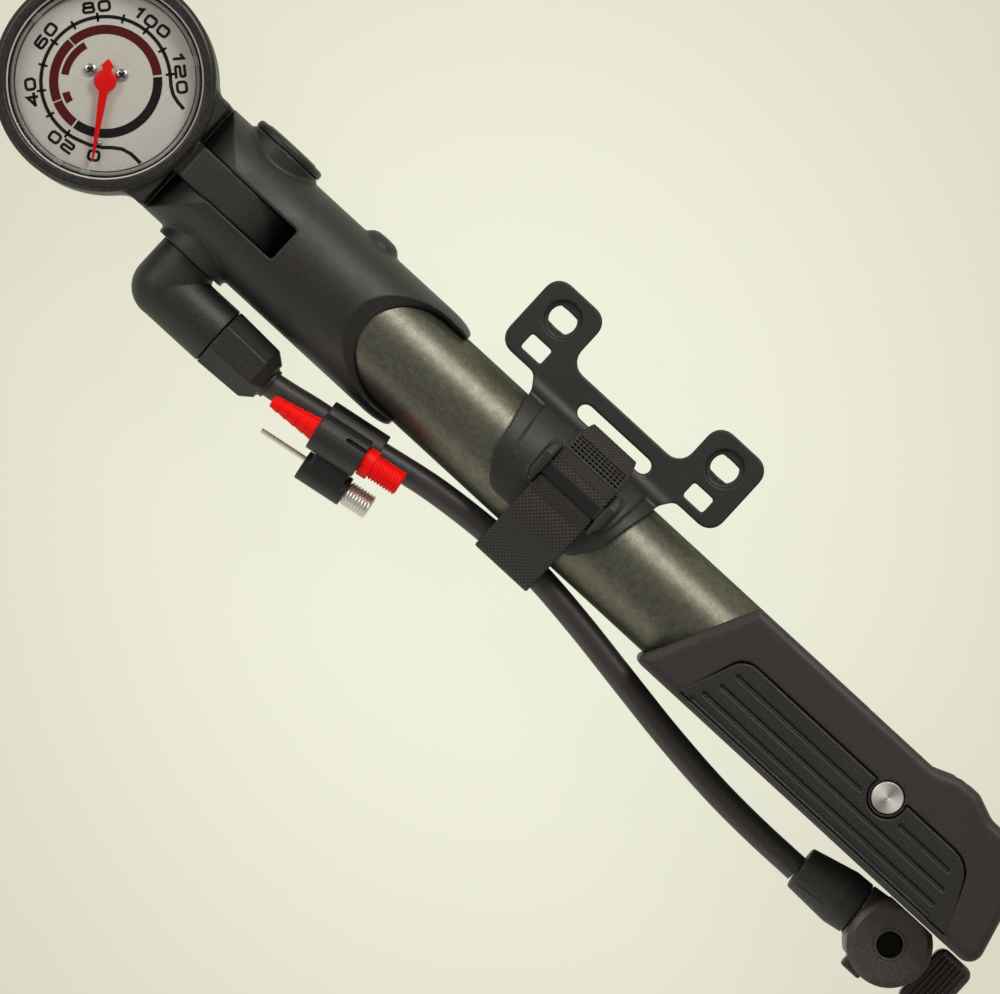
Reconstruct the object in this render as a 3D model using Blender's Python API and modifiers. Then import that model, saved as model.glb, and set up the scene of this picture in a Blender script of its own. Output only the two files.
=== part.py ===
"""Tyre mini pump with a folding gauge, a folding handle, a hose with a lever chuck and a frame bracket.

Lengths are in metres. The pump lies on its back with the dial up. In the pump's own frame X runs along the
barrel from the gauge to the handle, Y points to the bracket, Z points up out of the dial, and the barrel
axis is the X axis. An empty lifts that frame so that the pump rests on the plane z = 0.
"""
import math

import bmesh
import bpy
from mathutils import Matrix, Vector

OBJECT_NAME = "tyre_mini_pump"
CUTTERS_NAME = "cutters"

# Fits
GAP = 0.0003
ROUND_STEPS = 32
SMALL_STEPS = 16
GAUGE_STEPS = 40

# Barrel and what seals it
BARREL_RADIUS = 0.01635
BARREL_WALL = 0.0015
BARREL_REAR = -0.0405
BARREL_FRONT = 0.1580
SEAL_THICKNESS = 0.0012

# Pump head: a round body, forked at the rear for the gauge and scooped at the front round the barrel
HEAD_WALL = 0.00315
HEAD_FRONT = -0.0015
HEAD_TIP_WALL = 0.00095
HEAD_TIP_TAPER = 0.0085
FORK_ROUNDING = 0.0002
FORK_SLOT_WIDTH = 0.0116
SCOOP_INSET = 0.0006
SCOOP_LENGTH = 0.0240
SCOOP_STRAIGHT = 0.0070
SCOOP_BEVEL = 0.0050
SCOOP_BEVEL_DEPTH = 0.0016
SCOOP_SIDE_BEVEL = 0.0012
BOSS_RADIUS = 0.0120
BOSS_CAP_RISE = 0.0008
BOSS_HOSE_RISE = 0.0017
SCREW_X = -0.0385
SCREW_BOSS_RADIUS = 0.0063
SCREW_BOSS_TIP = 0.0034
SCREW_BOSS_RISE = 0.0027
SCREW_RADIUS = 0.0022
SCREW_LENGTH = 0.0046
VALVE_RADIUS = 0.0047
VALVE_LENGTH = 0.0070

# Gauge pivot
PIVOT_X = -0.0770
AXLE_RADIUS = 0.0040
CAP_THICKNESS = 0.0027
CAP_EDGE = 0.0012
CAP_ROUND = 0.3
SPIGOT_RADIUS = 0.0062
SPIGOT_LENGTH = 0.0033

# Gauge
GAUGE_REACH = 0.0198
GAUGE_RADIUS = 0.0324
GAUGE_BOTTOM = -0.0140
GAUGE_RIM = 0.0152
GAUGE_FLOOR = 0.0025
GAUGE_EDGE = 0.0050
GAUGE_WALL = 0.0059
DIAL_LEDGE = 0.0013
DIAL_LEVEL = 0.0090
DIAL_THICKNESS = 0.0006
LENS_LIP = 0.0011
LENS_THICKNESS = 0.0020
BEZEL_THICKNESS = 0.0015
BEZEL_WIDTH = 0.0036
BEZEL_EDGE = 0.0007
NECK_HALF_WIDTH = 0.0195
NECK_GAP = 0.0006
NECK_LIP = 0.0026
NECK_BOTTOM = -0.0120
NECK_TOP = 0.0140
NECK_FILLET = 0.0060
TONGUE_WIDTH = 0.0110
TONGUE_RADIUS = 0.0179

# Gauge movement
SOCKET_LENGTH = 0.0095
SOCKET_HALF_WIDTH = 0.0070
SOCKET_INSET = 0.0018
BOURDON_MARGIN = 0.0065
BOURDON_TUBE_RADIUS = 0.0020
BOURDON_LEVEL = -0.0050
BOURDON_STANDOFF = 0.00113
BOURDON_END = math.radians(284)
MOVEMENT_LEVEL = 0.0025
MOVEMENT_THICKNESS = 0.0015
MOVEMENT_RADIUS = 0.0200
GEAR_ADDENDUM = 0.85
GEAR_DEDENDUM = 1.15
TOOTH_TIP = 0.45
TOOTH_ROOT = 1.5
GEAR_MODULE = 0.0004
GEAR_THICKNESS = 0.0010
GEAR_BACKLASH = 0.00012
PINION_TEETH = 10
SECTOR_TEETH = 60
SECTOR_FIRST = -8
SECTOR_LAST = 1
PLATE_CORNER = 0.001
PLATE_BEND = 0.003
SECTOR_WAIST = 1.2
SECTOR_HUB = 0.0030
STUD_RADIUS = 0.0012
STAFF_RADIUS = 0.0009
STAFF_CLEARANCE = 0.0008
POINTER_LENGTH = 0.0226
POINTER_TAIL = 0.0055
POINTER_HUB = 0.0034
POINTER_ROOT = 0.0016
POINTER_TIP = 0.0003
POINTER_THICKNESS = 0.0010
POINTER_LEVEL = 0.0113
POINTER_ZERO = math.radians(-56)
DIAL_SCREW_POINTS = ((0.0022, 0.0045), (-0.0056, -0.0005))
DIAL_SCREW_HEAD = 0.0018
DIAL_SCREW_HEIGHT = 0.0008
DIAL_SCREW_SHANK = 0.0008
STOP_PIN_RADIUS = 0.0005
STOP_PIN_REACH = 0.0150
STOP_PIN_HEIGHT = 0.0024

# Hose fitting under the head
ELBOW_RADIUS = 0.0096
ELBOW_Y = -0.0325
ELBOW_END = -0.0555
NUT_END = -0.0360
NUT_FLAT_RADIUS = 0.0095
NUT_NOSE_RADIUS = 0.0062
NUT_NOSE_LENGTH = 0.0035
NUT_TAPER = 0.0006
NUT_SIDES = 8
BARB_RADIUS = 0.0040
BARB_ROOT = 0.0031
BARB_RIDGES = 4
BARB_CREST = 0.8
BARB_VALLEY = 0.9

# Hose: the route of its middle line, from the nut past the strap to the chuck
HOSE_RADIUS = 0.0040
HOSE_ROUTE = (
    (-0.0357, -0.0325, 0.0), (-0.0280, -0.0312, 0.0), (-0.0200, -0.0296, 0.0), (0.0000, -0.0264, 0.0),
    (0.0200, -0.0228, 0.0), (0.0380, -0.0211, 0.0), (0.0510, -0.0208, 0.0), (0.0620, -0.0210, 0.0),
    (0.0800, -0.0232, -0.0002), (0.1000, -0.0264, -0.0010), (0.1200, -0.0295, -0.0023),
    (0.1400, -0.0317, -0.0036), (0.1570, -0.0325, -0.0046), (0.1740, -0.0325, -0.0050))
HOSE_STEP = 0.0090
HOSE_SPLIT = 7

# Adapter clip on the hose
CLIP_AT = (-0.0070, -0.0275, 0.0)
CLIP_TILT = math.radians(9.5)
CLIP_LENGTH = 0.0190
CLIP_WALL = 0.0018
CLIP_MOUTH = 0.0060
BLADDER_TUBE_RADIUS = 0.0060
BLADDER_TUBE_LENGTH = 0.0160
BLADDER_TUBE_AT = (-0.0016, -0.0039, 0.0102)
BLADDER_BODY_RADIUS = 0.0037
BLADDER_NOSE_LENGTH = 0.0155
BLADDER_NOSE_STEPS = 5
NOSE_TAPER = 1.4
NOSE_STEP = 0.95
NOSE_END = 0.99
BLADDER_NOSE_ROOT = 0.0037
BLADDER_NOSE_TIP = 0.0020
BLADDER_FLANGE_RADIUS = 0.0045
BLADDER_FLANGE_LENGTH = 0.0033
BLADDER_THREAD_RADIUS = 0.00385
BLADDER_THREAD_LENGTH = 0.0095
NEEDLE_TUBE_RADIUS = 0.0046
NEEDLE_TUBE_LENGTH = 0.0150
NEEDLE_TUBE_AT = (-0.0003, -0.0146, 0.0020)
NEEDLE_BODY_RADIUS = 0.0030
NEEDLE_RADIUS = 0.00075
NEEDLE_LENGTH = 0.0150
NEEDLE_THREAD_RADIUS = 0.00385
NEEDLE_THREAD_LENGTH = 0.0082

# Frame bracket
PLATE_LOW = 0.0020
PLATE_THICKNESS = 0.0030
SADDLE_WALL = 0.0030
SADDLE_FILLET = 0.0050
SADDLE_OVERLAP = 0.15
SADDLE_EDGE_Y = -0.0112
TAB_WIDTH = 0.0203
TAB_LOW_Y = 0.0220
TAB_HIGH_Y = 0.0480
TAB_CORNER = 0.0050
BOLT_PITCH = 0.0640
BOLT_MIDDLE_X = 0.0472
BOLT_Y = 0.0390
BOLT_SLOT_LENGTH = 0.0083
BOLT_SLOT_WIDTH = 0.0060
BOLT_RECESS_RADIUS = 0.0057
BOLT_RECESS_DEPTH = 0.0012
WINDOW_LENGTH = 0.0077
WINDOW_WIDTH = 0.0052
WINDOW_Y = 0.0276
STRIP_EDGE_Y = 0.0310
LIP_INSET = 0.0065
LIP_ROUND = 0.0050
HIP_INSET = 0.0010
HIP_RISE = 0.0080
HIP_ROUND = 0.0100
WAIST_INSET = 0.0032
WAIST_DROP = 0.0040
WAIST_ROUND = 0.0050
TAB_ROOT_INSET = 0.0060
TAB_ROOT_ROUND = 0.0030
STRAP_SLOT_LENGTH = 0.0276
STRAP_SLOT_LOW_Y = 0.0212
STRAP_ARC_START = math.radians(20)
STRAP_ARC_END = math.radians(125)
STRAP_SLOT_HIGH_Y = 0.0260
STRAP_SLOT_X = 0.0497
STRAP_X = 0.0507
EAR_WIDTH = 0.0034
EAR_LOW_Y = -0.0030
EAR_HIGH_Y = 0.0120
EAR_HEIGHT = 0.0020
EAR_EDGE = 0.0009
EAR_SLOPE = 1.5
BAR_LOW_Y = 0.0020
BAR_HIGH_Y = 0.0065
BAR_THICKNESS = 0.0018

# Strap
STRAP_WIDTH = 0.0205
STRAP_THICKNESS = 0.0015

# Plunger
ROD_RADIUS = 0.0050
PISTON_LENGTH = 0.0120
PISTON_REAR = -0.0340
PISTON_CLEARANCE = 0.0005
PISTON_GROOVE_WIDTH = 0.0030
PISTON_GROOVE_DEPTH = 0.0018
GUIDE_LENGTH = 0.0100
GUIDE_FLANGE = 0.0037
KNUCKLE_RADIUS = 0.0090
KNUCKLE_STUB_RADIUS = 0.0070
KNUCKLE_SOCKET_DEPTH = 0.0060

# Handle
PIN_X = 0.1777
PIN_Y = 0.0005
PIN_RADIUS = 0.0040
PIN_HEAD_RADIUS = 0.0050
PIN_HEAD_HEIGHT = 0.0012
HANDLE_WALL = 0.00245
HANDLE_BACK_WALL = 0.00195
HANDLE_CHANNEL_GAP = 0.0012
HANDLE_EDGE = 0.0034
HANDLE_END_ROUND = 0.0040
HANDLE_RAMP_ROUND = 0.0060
HANDLE_OPEN_Y = 0.0160
HANDLE_FRONT_GRIP_X = 0.0965
HANDLE_FRONT_OPEN_X = 0.1138
HANDLE_END_GRIP_X = 0.2315
HANDLE_END_OPEN_X = 0.2210
HANDLE_BUMP_Y = 0.0193
HANDLE_BUMP_X = 0.1935
HANDLE_BUMP_LENGTH = 0.0070
HANDLE_BUMP_RAMP = 0.0075
FOLD_CLEARANCE = 0.0006
FOLD_LEAD = math.radians(3)
GRIP_DEPTH = 0.0012
GRIP_EDGE_Y = 0.0030
GRIP_FRONT_X = 0.1122
GRIP_FRONT_TOP_X = 0.1202
GRIP_END_X = 0.2180
GRIP_END_TOP_X = 0.2080
GRIP_ROUND = 0.0065
GRIP_END_ROUND = 0.0090
GRIP_MARGIN = 0.0006
GRIP_BACK_INSET = 0.0017
GROOVE_COUNT = 4
GROOVE_FIRST_Y = -0.0027
GROOVE_PITCH = 0.0046
GROOVE_FRONT_X = 0.1215
GROOVE_END_X = 0.2045
GROOVE_LEAN = 0.0019
GROOVE_PIN_ROOM = 0.0078
GROOVE_WIDTH = 0.0012
GROOVE_DEPTH = 0.0008

# Lever chuck
CHUCK_X = 0.2080
CHUCK_Y = -0.0304
CHUCK_RADIUS = 0.0128
CHUCK_HALF_FLAT = 0.0105
CHUCK_BOTTOM = -0.0175
CHUCK_TOP = 0.0040
CHUCK_CAP_HEIGHT = 0.0037
CHUCK_CAP_EDGE = 0.0014
CHUCK_MOUTH_RADIUS = 0.0050
CHUCK_GASKET_RADIUS = 0.0062
CHUCK_GASKET_DEPTH = 0.0040
CHUCK_VALVE_RADIUS = 0.0026
CHUCK_STUB_RADIUS = 0.0084
CHUCK_STUB_LENGTH = 0.0060
SLEEVE_END = 0.1950
SLEEVE_RADIUS = 0.0089
SLEEVE_NECK_RADIUS = 0.0067
SLEEVE_NECK_SHIFT = 0.0010
SLEEVE_SHIFT = 0.0012
LEVER_X = 0.2055
LEVER_Z = -0.0120
LEVER_CAM_RADIUS = 0.0050
LEVER_CAM_WIDTH = 0.0080
LEVER_NECK_LOW = -0.0040
LEVER_NECK_HIGH = 0.0020
LEVER_PAD_NEAR = 0.0170
LEVER_PAD_LENGTH = 0.0130
LEVER_PAD_WIDTH = 0.0206
LEVER_PAD_LOW = -0.0045
LEVER_RIB_PITCH = 0.0022
LEVER_RIB_DEPTH = 0.0010
LEVER_RIBS = 5
LEVER_PIN_RADIUS = 0.0015
LEVER_PIN_HEAD = 0.0028
LEVER_PIN_HEAD_HEIGHT = 0.0011

# Sizes that follow from the ones above
BORE_RADIUS = BARREL_RADIUS - BARREL_WALL
HEAD_RADIUS = BARREL_RADIUS + HEAD_WALL
HEAD_TIP_RADIUS = BARREL_RADIUS + HEAD_TIP_WALL
FORK_END_RADIUS = HEAD_RADIUS + FORK_ROUNDING
SCOOP_HALF_WIDTH = BARREL_RADIUS - SCOOP_INSET
BOSS_CAP_SIDE = HEAD_RADIUS + BOSS_CAP_RISE
BOSS_HOSE_SIDE = HEAD_RADIUS + BOSS_HOSE_RISE
SCREW_BOSS_HEIGHT = HEAD_RADIUS + SCREW_BOSS_RISE
HEAD_BORE = BARREL_RADIUS + GAP
HEAD_SEAT = BARREL_REAR - SEAL_THICKNESS - 2 * GAP
FORK_WALL_X = PIVOT_X + TONGUE_RADIUS + 2 * GAP
GAUGE_X = PIVOT_X - GAUGE_REACH - GAUGE_RADIUS
CASE_RADIUS = GAUGE_RADIUS - GAUGE_WALL
LENS_RADIUS = GAUGE_RADIUS - BEZEL_WIDTH + LENS_LIP
DIAL_RADIUS = LENS_RADIUS - DIAL_LEDGE
BOURDON_RADIUS = CASE_RADIUS - BOURDON_MARGIN
BOURDON_START = math.asin((SOCKET_HALF_WIDTH + BOURDON_STANDOFF) / BOURDON_RADIUS)
CAP_END_Y = BOSS_CAP_SIDE + GAP + CAP_THICKNESS
NECK_END_X = PIVOT_X - FORK_END_RADIUS - NECK_GAP
BEZEL_TOP = GAUGE_RIM + GAP + BEZEL_THICKNESS
LENS_LEVEL = GAUGE_RIM - LENS_THICKNESS
DIAL_TOP = DIAL_LEVEL + DIAL_THICKNESS
MOVEMENT_TOP = MOVEMENT_LEVEL + MOVEMENT_THICKNESS
GEAR_LEVEL = MOVEMENT_TOP + GAP
PINION_PITCH = GEAR_MODULE * PINION_TEETH / 2
SECTOR_PITCH = GEAR_MODULE * SECTOR_TEETH / 2
SECTOR_Y = -(PINION_PITCH + SECTOR_PITCH)
SADDLE_INNER = BARREL_RADIUS + GAP
SADDLE_OUTER = SADDLE_INNER + SADDLE_WALL
PLATE_TOP = PLATE_LOW + PLATE_THICKNESS
STRAP_TOP = SADDLE_OUTER + GAP + STRAP_THICKNESS
BAR_LOW = STRAP_TOP + GAP
EAR_TOP = BAR_LOW + EAR_HEIGHT
GUIDE_END = BARREL_FRONT + GAP + GUIDE_FLANGE
PISTON_FRONT = PISTON_REAR + PISTON_LENGTH
CHANNEL_RADIUS = BARREL_RADIUS + HANDLE_CHANNEL_GAP
HANDLE_HALF_DEPTH = CHANNEL_RADIUS + HANDLE_WALL
HANDLE_GRIP_Y = -(CHANNEL_RADIUS + HANDLE_BACK_WALL)
KNUCKLE_HALF_HEIGHT = CHANNEL_RADIUS - GAP
KNUCKLE_STUB_X = GUIDE_END + 2 * GAP
FOLD_RADIUS = math.hypot(PIN_X - GUIDE_END, BARREL_RADIUS + PIN_Y) + FOLD_CLEARANCE
HOSE_END = Vector(HOSE_ROUTE[-1])
SLEEVE_START = HOSE_END.x + GAP
CHUCK_CAP_TOP = CHUCK_TOP + GAP + CHUCK_CAP_HEIGHT
LEVER_PIN_END = CHUCK_Y - CHUCK_HALF_FLAT - GAP

# The origin stands at the middle of the base of the pump without its hose
ORIGIN_X = (GAUGE_X - GAUGE_RADIUS + HANDLE_END_GRIP_X) / 2
ORIGIN_Y = (TAB_HIGH_Y + ELBOW_Y - ELBOW_RADIUS) / 2
AXIS_HEIGHT = HANDLE_HALF_DEPTH

# Where each moving group turns, in the pump's frame
CARRIERS = {
    "pump_frame": Vector((0, 0, 0)),
    "plunger_axis": Vector((PISTON_REAR, 0, 0)),
    "handle_axis": Vector((PIN_X, PIN_Y, 0)),
    "gauge_axis": Vector((PIVOT_X, 0, 0)),
    "pointer_axis": Vector((GAUGE_X, 0, 0)),
    "sector_axis": Vector((GAUGE_X, SECTOR_Y, 0)),
    "chuck_axis": Vector(HOSE_ROUTE[HOSE_SPLIT]),
    "lever_axis": Vector((LEVER_X, CHUCK_Y, LEVER_Z)),
    "clip_axis": Vector(CLIP_AT),
}
CARRIER_PARENTS = {"handle_axis": "plunger_axis", "pointer_axis": "gauge_axis",
                   "sector_axis": "gauge_axis",
                   "lever_axis": "chuck_axis"}

# Turns that bring a shape's own Z axis on to a pump axis
ALONG_X = Matrix.Rotation(math.pi / 2, 4, "Y")
ALONG_Y = Matrix.Rotation(-math.pi / 2, 4, "X")
ALONG_Z = Matrix.Identity(4)
# How a flat outline is stood up: its turn, and the direction that it is extruded in
FACE_XY = (ALONG_Z, Vector((0, 0, 1)))
FACE_XZ = (Matrix.Rotation(math.pi / 2, 4, "X"), Vector((0, 1, 0)))
FACE_YZ = (Matrix.Rotation(math.pi / 2, 4, "Z") @ FACE_XZ[0], Vector((1, 0, 0)))

MATERIALS = {
    "black_plastic": ((0.022, 0.022, 0.022), 0.5, 0.0),
    "grip_rubber": ((0.026, 0.026, 0.025), 0.7, 0.0),
    "hose_rubber": ((0.02, 0.02, 0.02), 0.45, 0.0),
    "barrel_paint": ((0.19, 0.19, 0.155), 0.4, 0.7),
    "steel": ((0.6, 0.59, 0.56), 0.3, 1.0),
    "brass": ((0.62, 0.48, 0.22), 0.35, 1.0),
    "red_plastic": ((0.78, 0.02, 0.02), 0.4, 0.0),
    "pointer_red": ((0.8, 0.03, 0.02), 0.45, 0.0),
    "dial_silver": ((0.62, 0.62, 0.6), 0.4, 0.6),
    "lens_clear": ((0.9, 0.9, 0.88), 0.05, 0.0),
    "strap_web": ((0.02, 0.02, 0.02), 0.85, 0.0),
    "seal_rubber": ((0.03, 0.03, 0.03), 0.75, 0.0),
}


def clear_scene():
    """Remove whatever the file holds, so the model is built from nothing."""
    for obj in list(bpy.data.objects):
        bpy.data.objects.remove(obj, do_unlink=True)


def make_collections():
    """Make the collection of parts and the one of cutters."""
    for name in (OBJECT_NAME, CUTTERS_NAME):
        bpy.context.scene.collection.children.link(bpy.data.collections.new(name))


def make_carriers():
    """Place one empty on each moving group's axis, the pump's own frame first."""
    for name, point in CARRIERS.items():
        empty = bpy.data.objects.new(name, None)
        bpy.data.collections[OBJECT_NAME].objects.link(empty)
        if name == "pump_frame":
            empty.location = (-ORIGIN_X, -ORIGIN_Y, AXIS_HEIGHT)
            continue
        parent = CARRIER_PARENTS.get(name, "pump_frame")
        empty.parent = bpy.data.objects[parent]
        empty.location = point - CARRIERS[parent]
    bpy.data.objects["clip_axis"].rotation_euler.z = CLIP_TILT


def make_materials():
    """Make one Principled material for each finish."""
    for name, (colour, roughness, metallic) in MATERIALS.items():
        material = bpy.data.materials.new(name)
        material.use_nodes = True
        shader = material.node_tree.nodes["Principled BSDF"]
        shader.inputs["Base Color"].default_value = (*colour, 1.0)
        shader.inputs["Roughness"].default_value = roughness
        shader.inputs["Metallic"].default_value = metallic


def place(name, data, turn=ALONG_Z, at=(0, 0, 0), carrier="pump_frame"):
    """Put a new object where the pump's frame says, carried by one of the empties."""
    obj = bpy.data.objects.new(name, data)
    bpy.data.collections[CUTTERS_NAME].objects.link(obj)
    obj.hide_render = True
    obj.display_type = "WIRE"
    obj.parent = bpy.data.objects[carrier]
    offset = Vector(at) if carrier == "clip_axis" else Vector(at) - CARRIERS[carrier]
    obj.matrix_local = Matrix.Translation(offset) @ turn
    return obj


def make_part(obj, material):
    """Move a finished shape from the cutters to the parts and give it its material."""
    bpy.data.collections[CUTTERS_NAME].objects.unlink(obj)
    bpy.data.collections[OBJECT_NAME].objects.link(obj)
    obj.hide_render = False
    obj.display_type = "TEXTURED"
    obj.data.materials.clear()
    obj.data.materials.append(bpy.data.materials[material])
    obj.data.shade_smooth()
    obj.data.set_sharp_from_angle(angle=math.radians(35))
    return obj


def mesh_from(bm, name):
    """Turn a bmesh into a mesh."""
    mesh = bpy.data.meshes.new(name)
    bm.to_mesh(mesh)
    bm.free()
    return mesh


def block(name, low, high, carrier="pump_frame"):
    """A box between two corners."""
    bm = bmesh.new()
    bmesh.ops.create_cube(bm, size=1)
    low, high = Vector(low), Vector(high)
    bmesh.ops.scale(bm, vec=high - low, verts=bm.verts)
    return place(name, mesh_from(bm, name), at=(low + high) / 2, carrier=carrier)


def cylinder(name, radius, start, end, carrier="pump_frame", far_radius=None, steps=SMALL_STEPS):
    """A cylinder or a cone between two points on a line along X, Y or Z."""
    start, end = Vector(start), Vector(end)
    bm = bmesh.new()
    bmesh.ops.create_cone(bm, cap_ends=True, segments=steps, radius1=radius,
                          radius2=radius if far_radius is None else far_radius,
                          depth=(end - start).length)
    turn = (end - start).to_track_quat("Z", "Y").to_matrix().to_4x4()
    return place(name, mesh_from(bm, name), turn, (start + end) / 2, carrier)


def ball(name, radius, at, steps=SMALL_STEPS):
    """A sphere."""
    bm = bmesh.new()
    bmesh.ops.create_uvsphere(bm, u_segments=steps, v_segments=steps // 2, radius=radius)
    return place(name, mesh_from(bm, name), at=at)


def turned(name, profile, turn=ALONG_X, at=(0, 0, 0), carrier="pump_frame", steps=ROUND_STEPS,
           closed=True,
           start_angle=0.0):
    """A profile of (radius, height) points turned about the shape's axis, its outer side running down."""
    bm = bmesh.new()
    points = [bm.verts.new((r * math.cos(start_angle), r * math.sin(start_angle), h)) for r, h in profile]
    pairs = list(zip(points, points[1:]))
    if closed:
        pairs.append((points[-1], points[0]))
    for pair in pairs:
        bm.edges.new(pair)
    obj = place(name, mesh_from(bm, name), turn, at, carrier)
    screw = obj.modifiers.new("turn", "SCREW")
    screw.steps = steps
    screw.render_steps = steps
    screw.use_merge_vertices = True
    screw.merge_threshold = 0.00001
    return obj


def plate(name, outlines, low, high, face=FACE_XY, carrier="pump_frame", about=(0, 0, 0), spin=0.0):
    """A flat outline, with any holes as further outlines, extruded between two levels across it.

    The outline is drawn about a point of the pump's frame, and may be spun there about Z.
    """
    curve = bpy.data.curves.new(name, "CURVE")
    curve.dimensions = "2D"
    curve.fill_mode = "BOTH"
    curve.extrude = (high - low) / 2
    for outline in outlines:
        spline = curve.splines.new("POLY")
        spline.points.add(len(outline) - 1)
        for point, (a, b) in zip(spline.points, outline):
            point.co = (a, b, 0, 1)
        spline.use_cyclic_u = True
    turn, across = face
    at = Vector(about) + across * (low + high) / 2
    return curve_to_mesh(place(name + "_curve", curve, Matrix.Rotation(spin, 4, "Z") @ turn, at, carrier),
                         name)


def curve_to_mesh(guide, name):
    """Replace a curve by a closed mesh that can be cut and joined."""
    bpy.context.view_layer.update()
    graph = bpy.context.evaluated_depsgraph_get()
    mesh = bpy.data.meshes.new_from_object(guide.evaluated_get(graph))
    bm = bmesh.new()
    bm.from_mesh(mesh)
    bmesh.ops.remove_doubles(bm, verts=bm.verts, dist=0.000005)
    bmesh.ops.dissolve_limit(bm, angle_limit=math.radians(0.5), verts=bm.verts, edges=bm.edges)
    bmesh.ops.recalc_face_normals(bm, faces=bm.faces)
    bm.to_mesh(mesh)
    bm.free()
    obj = place(name, mesh)
    obj.parent = guide.parent
    obj.matrix_local = guide.matrix_local.copy()
    bpy.data.objects.remove(guide, do_unlink=True)
    return obj


def change(obj, tool, operation):
    """Cut a shape by another, join it on, or keep what they share."""
    modifier = obj.modifiers.new(tool.name, "BOOLEAN")
    modifier.operation = operation
    modifier.object = tool
    return obj


def cut(obj, *tools):
    """Take each tool's shape out of the object."""
    for tool in tools:
        change(obj, tool, "DIFFERENCE")
    return obj


def join(obj, *tools):
    """Add each tool's shape to the object."""
    for tool in tools:
        change(obj, tool, "UNION")
    return obj


def soften(obj, width, segments=2, angle=50):
    """Round the sharp edges of a shape."""
    bevel = obj.modifiers.new("edges", "BEVEL")
    bevel.width = width
    bevel.segments = segments
    bevel.limit_method = "ANGLE"
    bevel.angle_limit = math.radians(angle)
    return obj


def arc(centre, radius, start, end, steps=12):
    """Points along a circle between two angles, in radians."""
    span = [start + (end - start) * i / steps for i in range(steps + 1)]
    return [(centre[0] + radius * math.cos(t), centre[1] + radius * math.sin(t)) for t in span]


def rounded(corners, steps=5):
    """A closed outline whose corners, given as (a, b, radius), are rounded."""
    outline = []
    for i, (a, b, radius) in enumerate(corners):
        if not radius:
            outline.append((a, b))
            continue
        here = Vector((a, b))
        before = (Vector(corners[i - 1][:2]) - here).normalized()
        after = (Vector(corners[(i + 1) % len(corners)][:2]) - here).normalized()
        half = before.angle(after) / 2
        reach = radius / math.tan(half)
        middle = here + (before + after).normalized() * (radius / math.sin(half))
        first = here + before * reach - middle
        turn = math.remainder(math.atan2(*(here + after * reach - middle).yx) - math.atan2(*first.yx),
                              math.tau)
        start = math.atan2(first.y, first.x)
        outline += arc(middle, radius, start, start + turn, steps)
    return outline


def slot_outline(centre, length, width, steps=8):
    """An oblong with round ends along the first axis."""
    reach = (length - width) / 2
    right = arc((centre[0] + reach, centre[1]), width / 2, -math.pi / 2, math.pi / 2, steps)
    left = arc((centre[0] - reach, centre[1]), width / 2, math.pi / 2, 3 * math.pi / 2, steps)
    return right + left


def rectangle(centre, length, width):
    """A rectangle about its middle point."""
    return [(centre[0] + i * length / 2, centre[1] + j * width / 2) for i,
            j in ((-1, -1), (1, -1), (1, 1), (-1, 1))]


def circle(centre, radius, steps=SMALL_STEPS):
    """A full circle of points."""
    return arc(centre, radius, 0, math.tau, steps)[:-1]


def build_barrel():
    """The painted tube and the flat seal behind it."""
    tube = turned("barrel_tube", [(BORE_RADIUS, BARREL_FRONT), (BARREL_RADIUS, BARREL_FRONT),
                                  (BARREL_RADIUS, BARREL_REAR), (BORE_RADIUS, BARREL_REAR)])
    make_part(tube, "barrel_paint")
    seal_front = BARREL_REAR - GAP
    seal = turned("barrel_seal", [(BORE_RADIUS, seal_front), (BARREL_RADIUS, seal_front),
                                  (BARREL_RADIUS, seal_front - SEAL_THICKNESS),
                                  (BORE_RADIUS, seal_front - SEAL_THICKNESS)])
    make_part(seal, "seal_rubber")


def scoop_outline(length, half_width):
    """The round-ended opening at the head's front, seen from above."""
    start = HEAD_FRONT - SCOOP_STRAIGHT
    end = [(start + length * math.cos(t), half_width * math.sin(t))
           for t in (math.pi / 2 + math.pi * i / 20 for i in range(21))]
    return end + [(-HEAD_FRONT + half_width, -half_width), (-HEAD_FRONT + half_width, half_width)]


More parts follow.
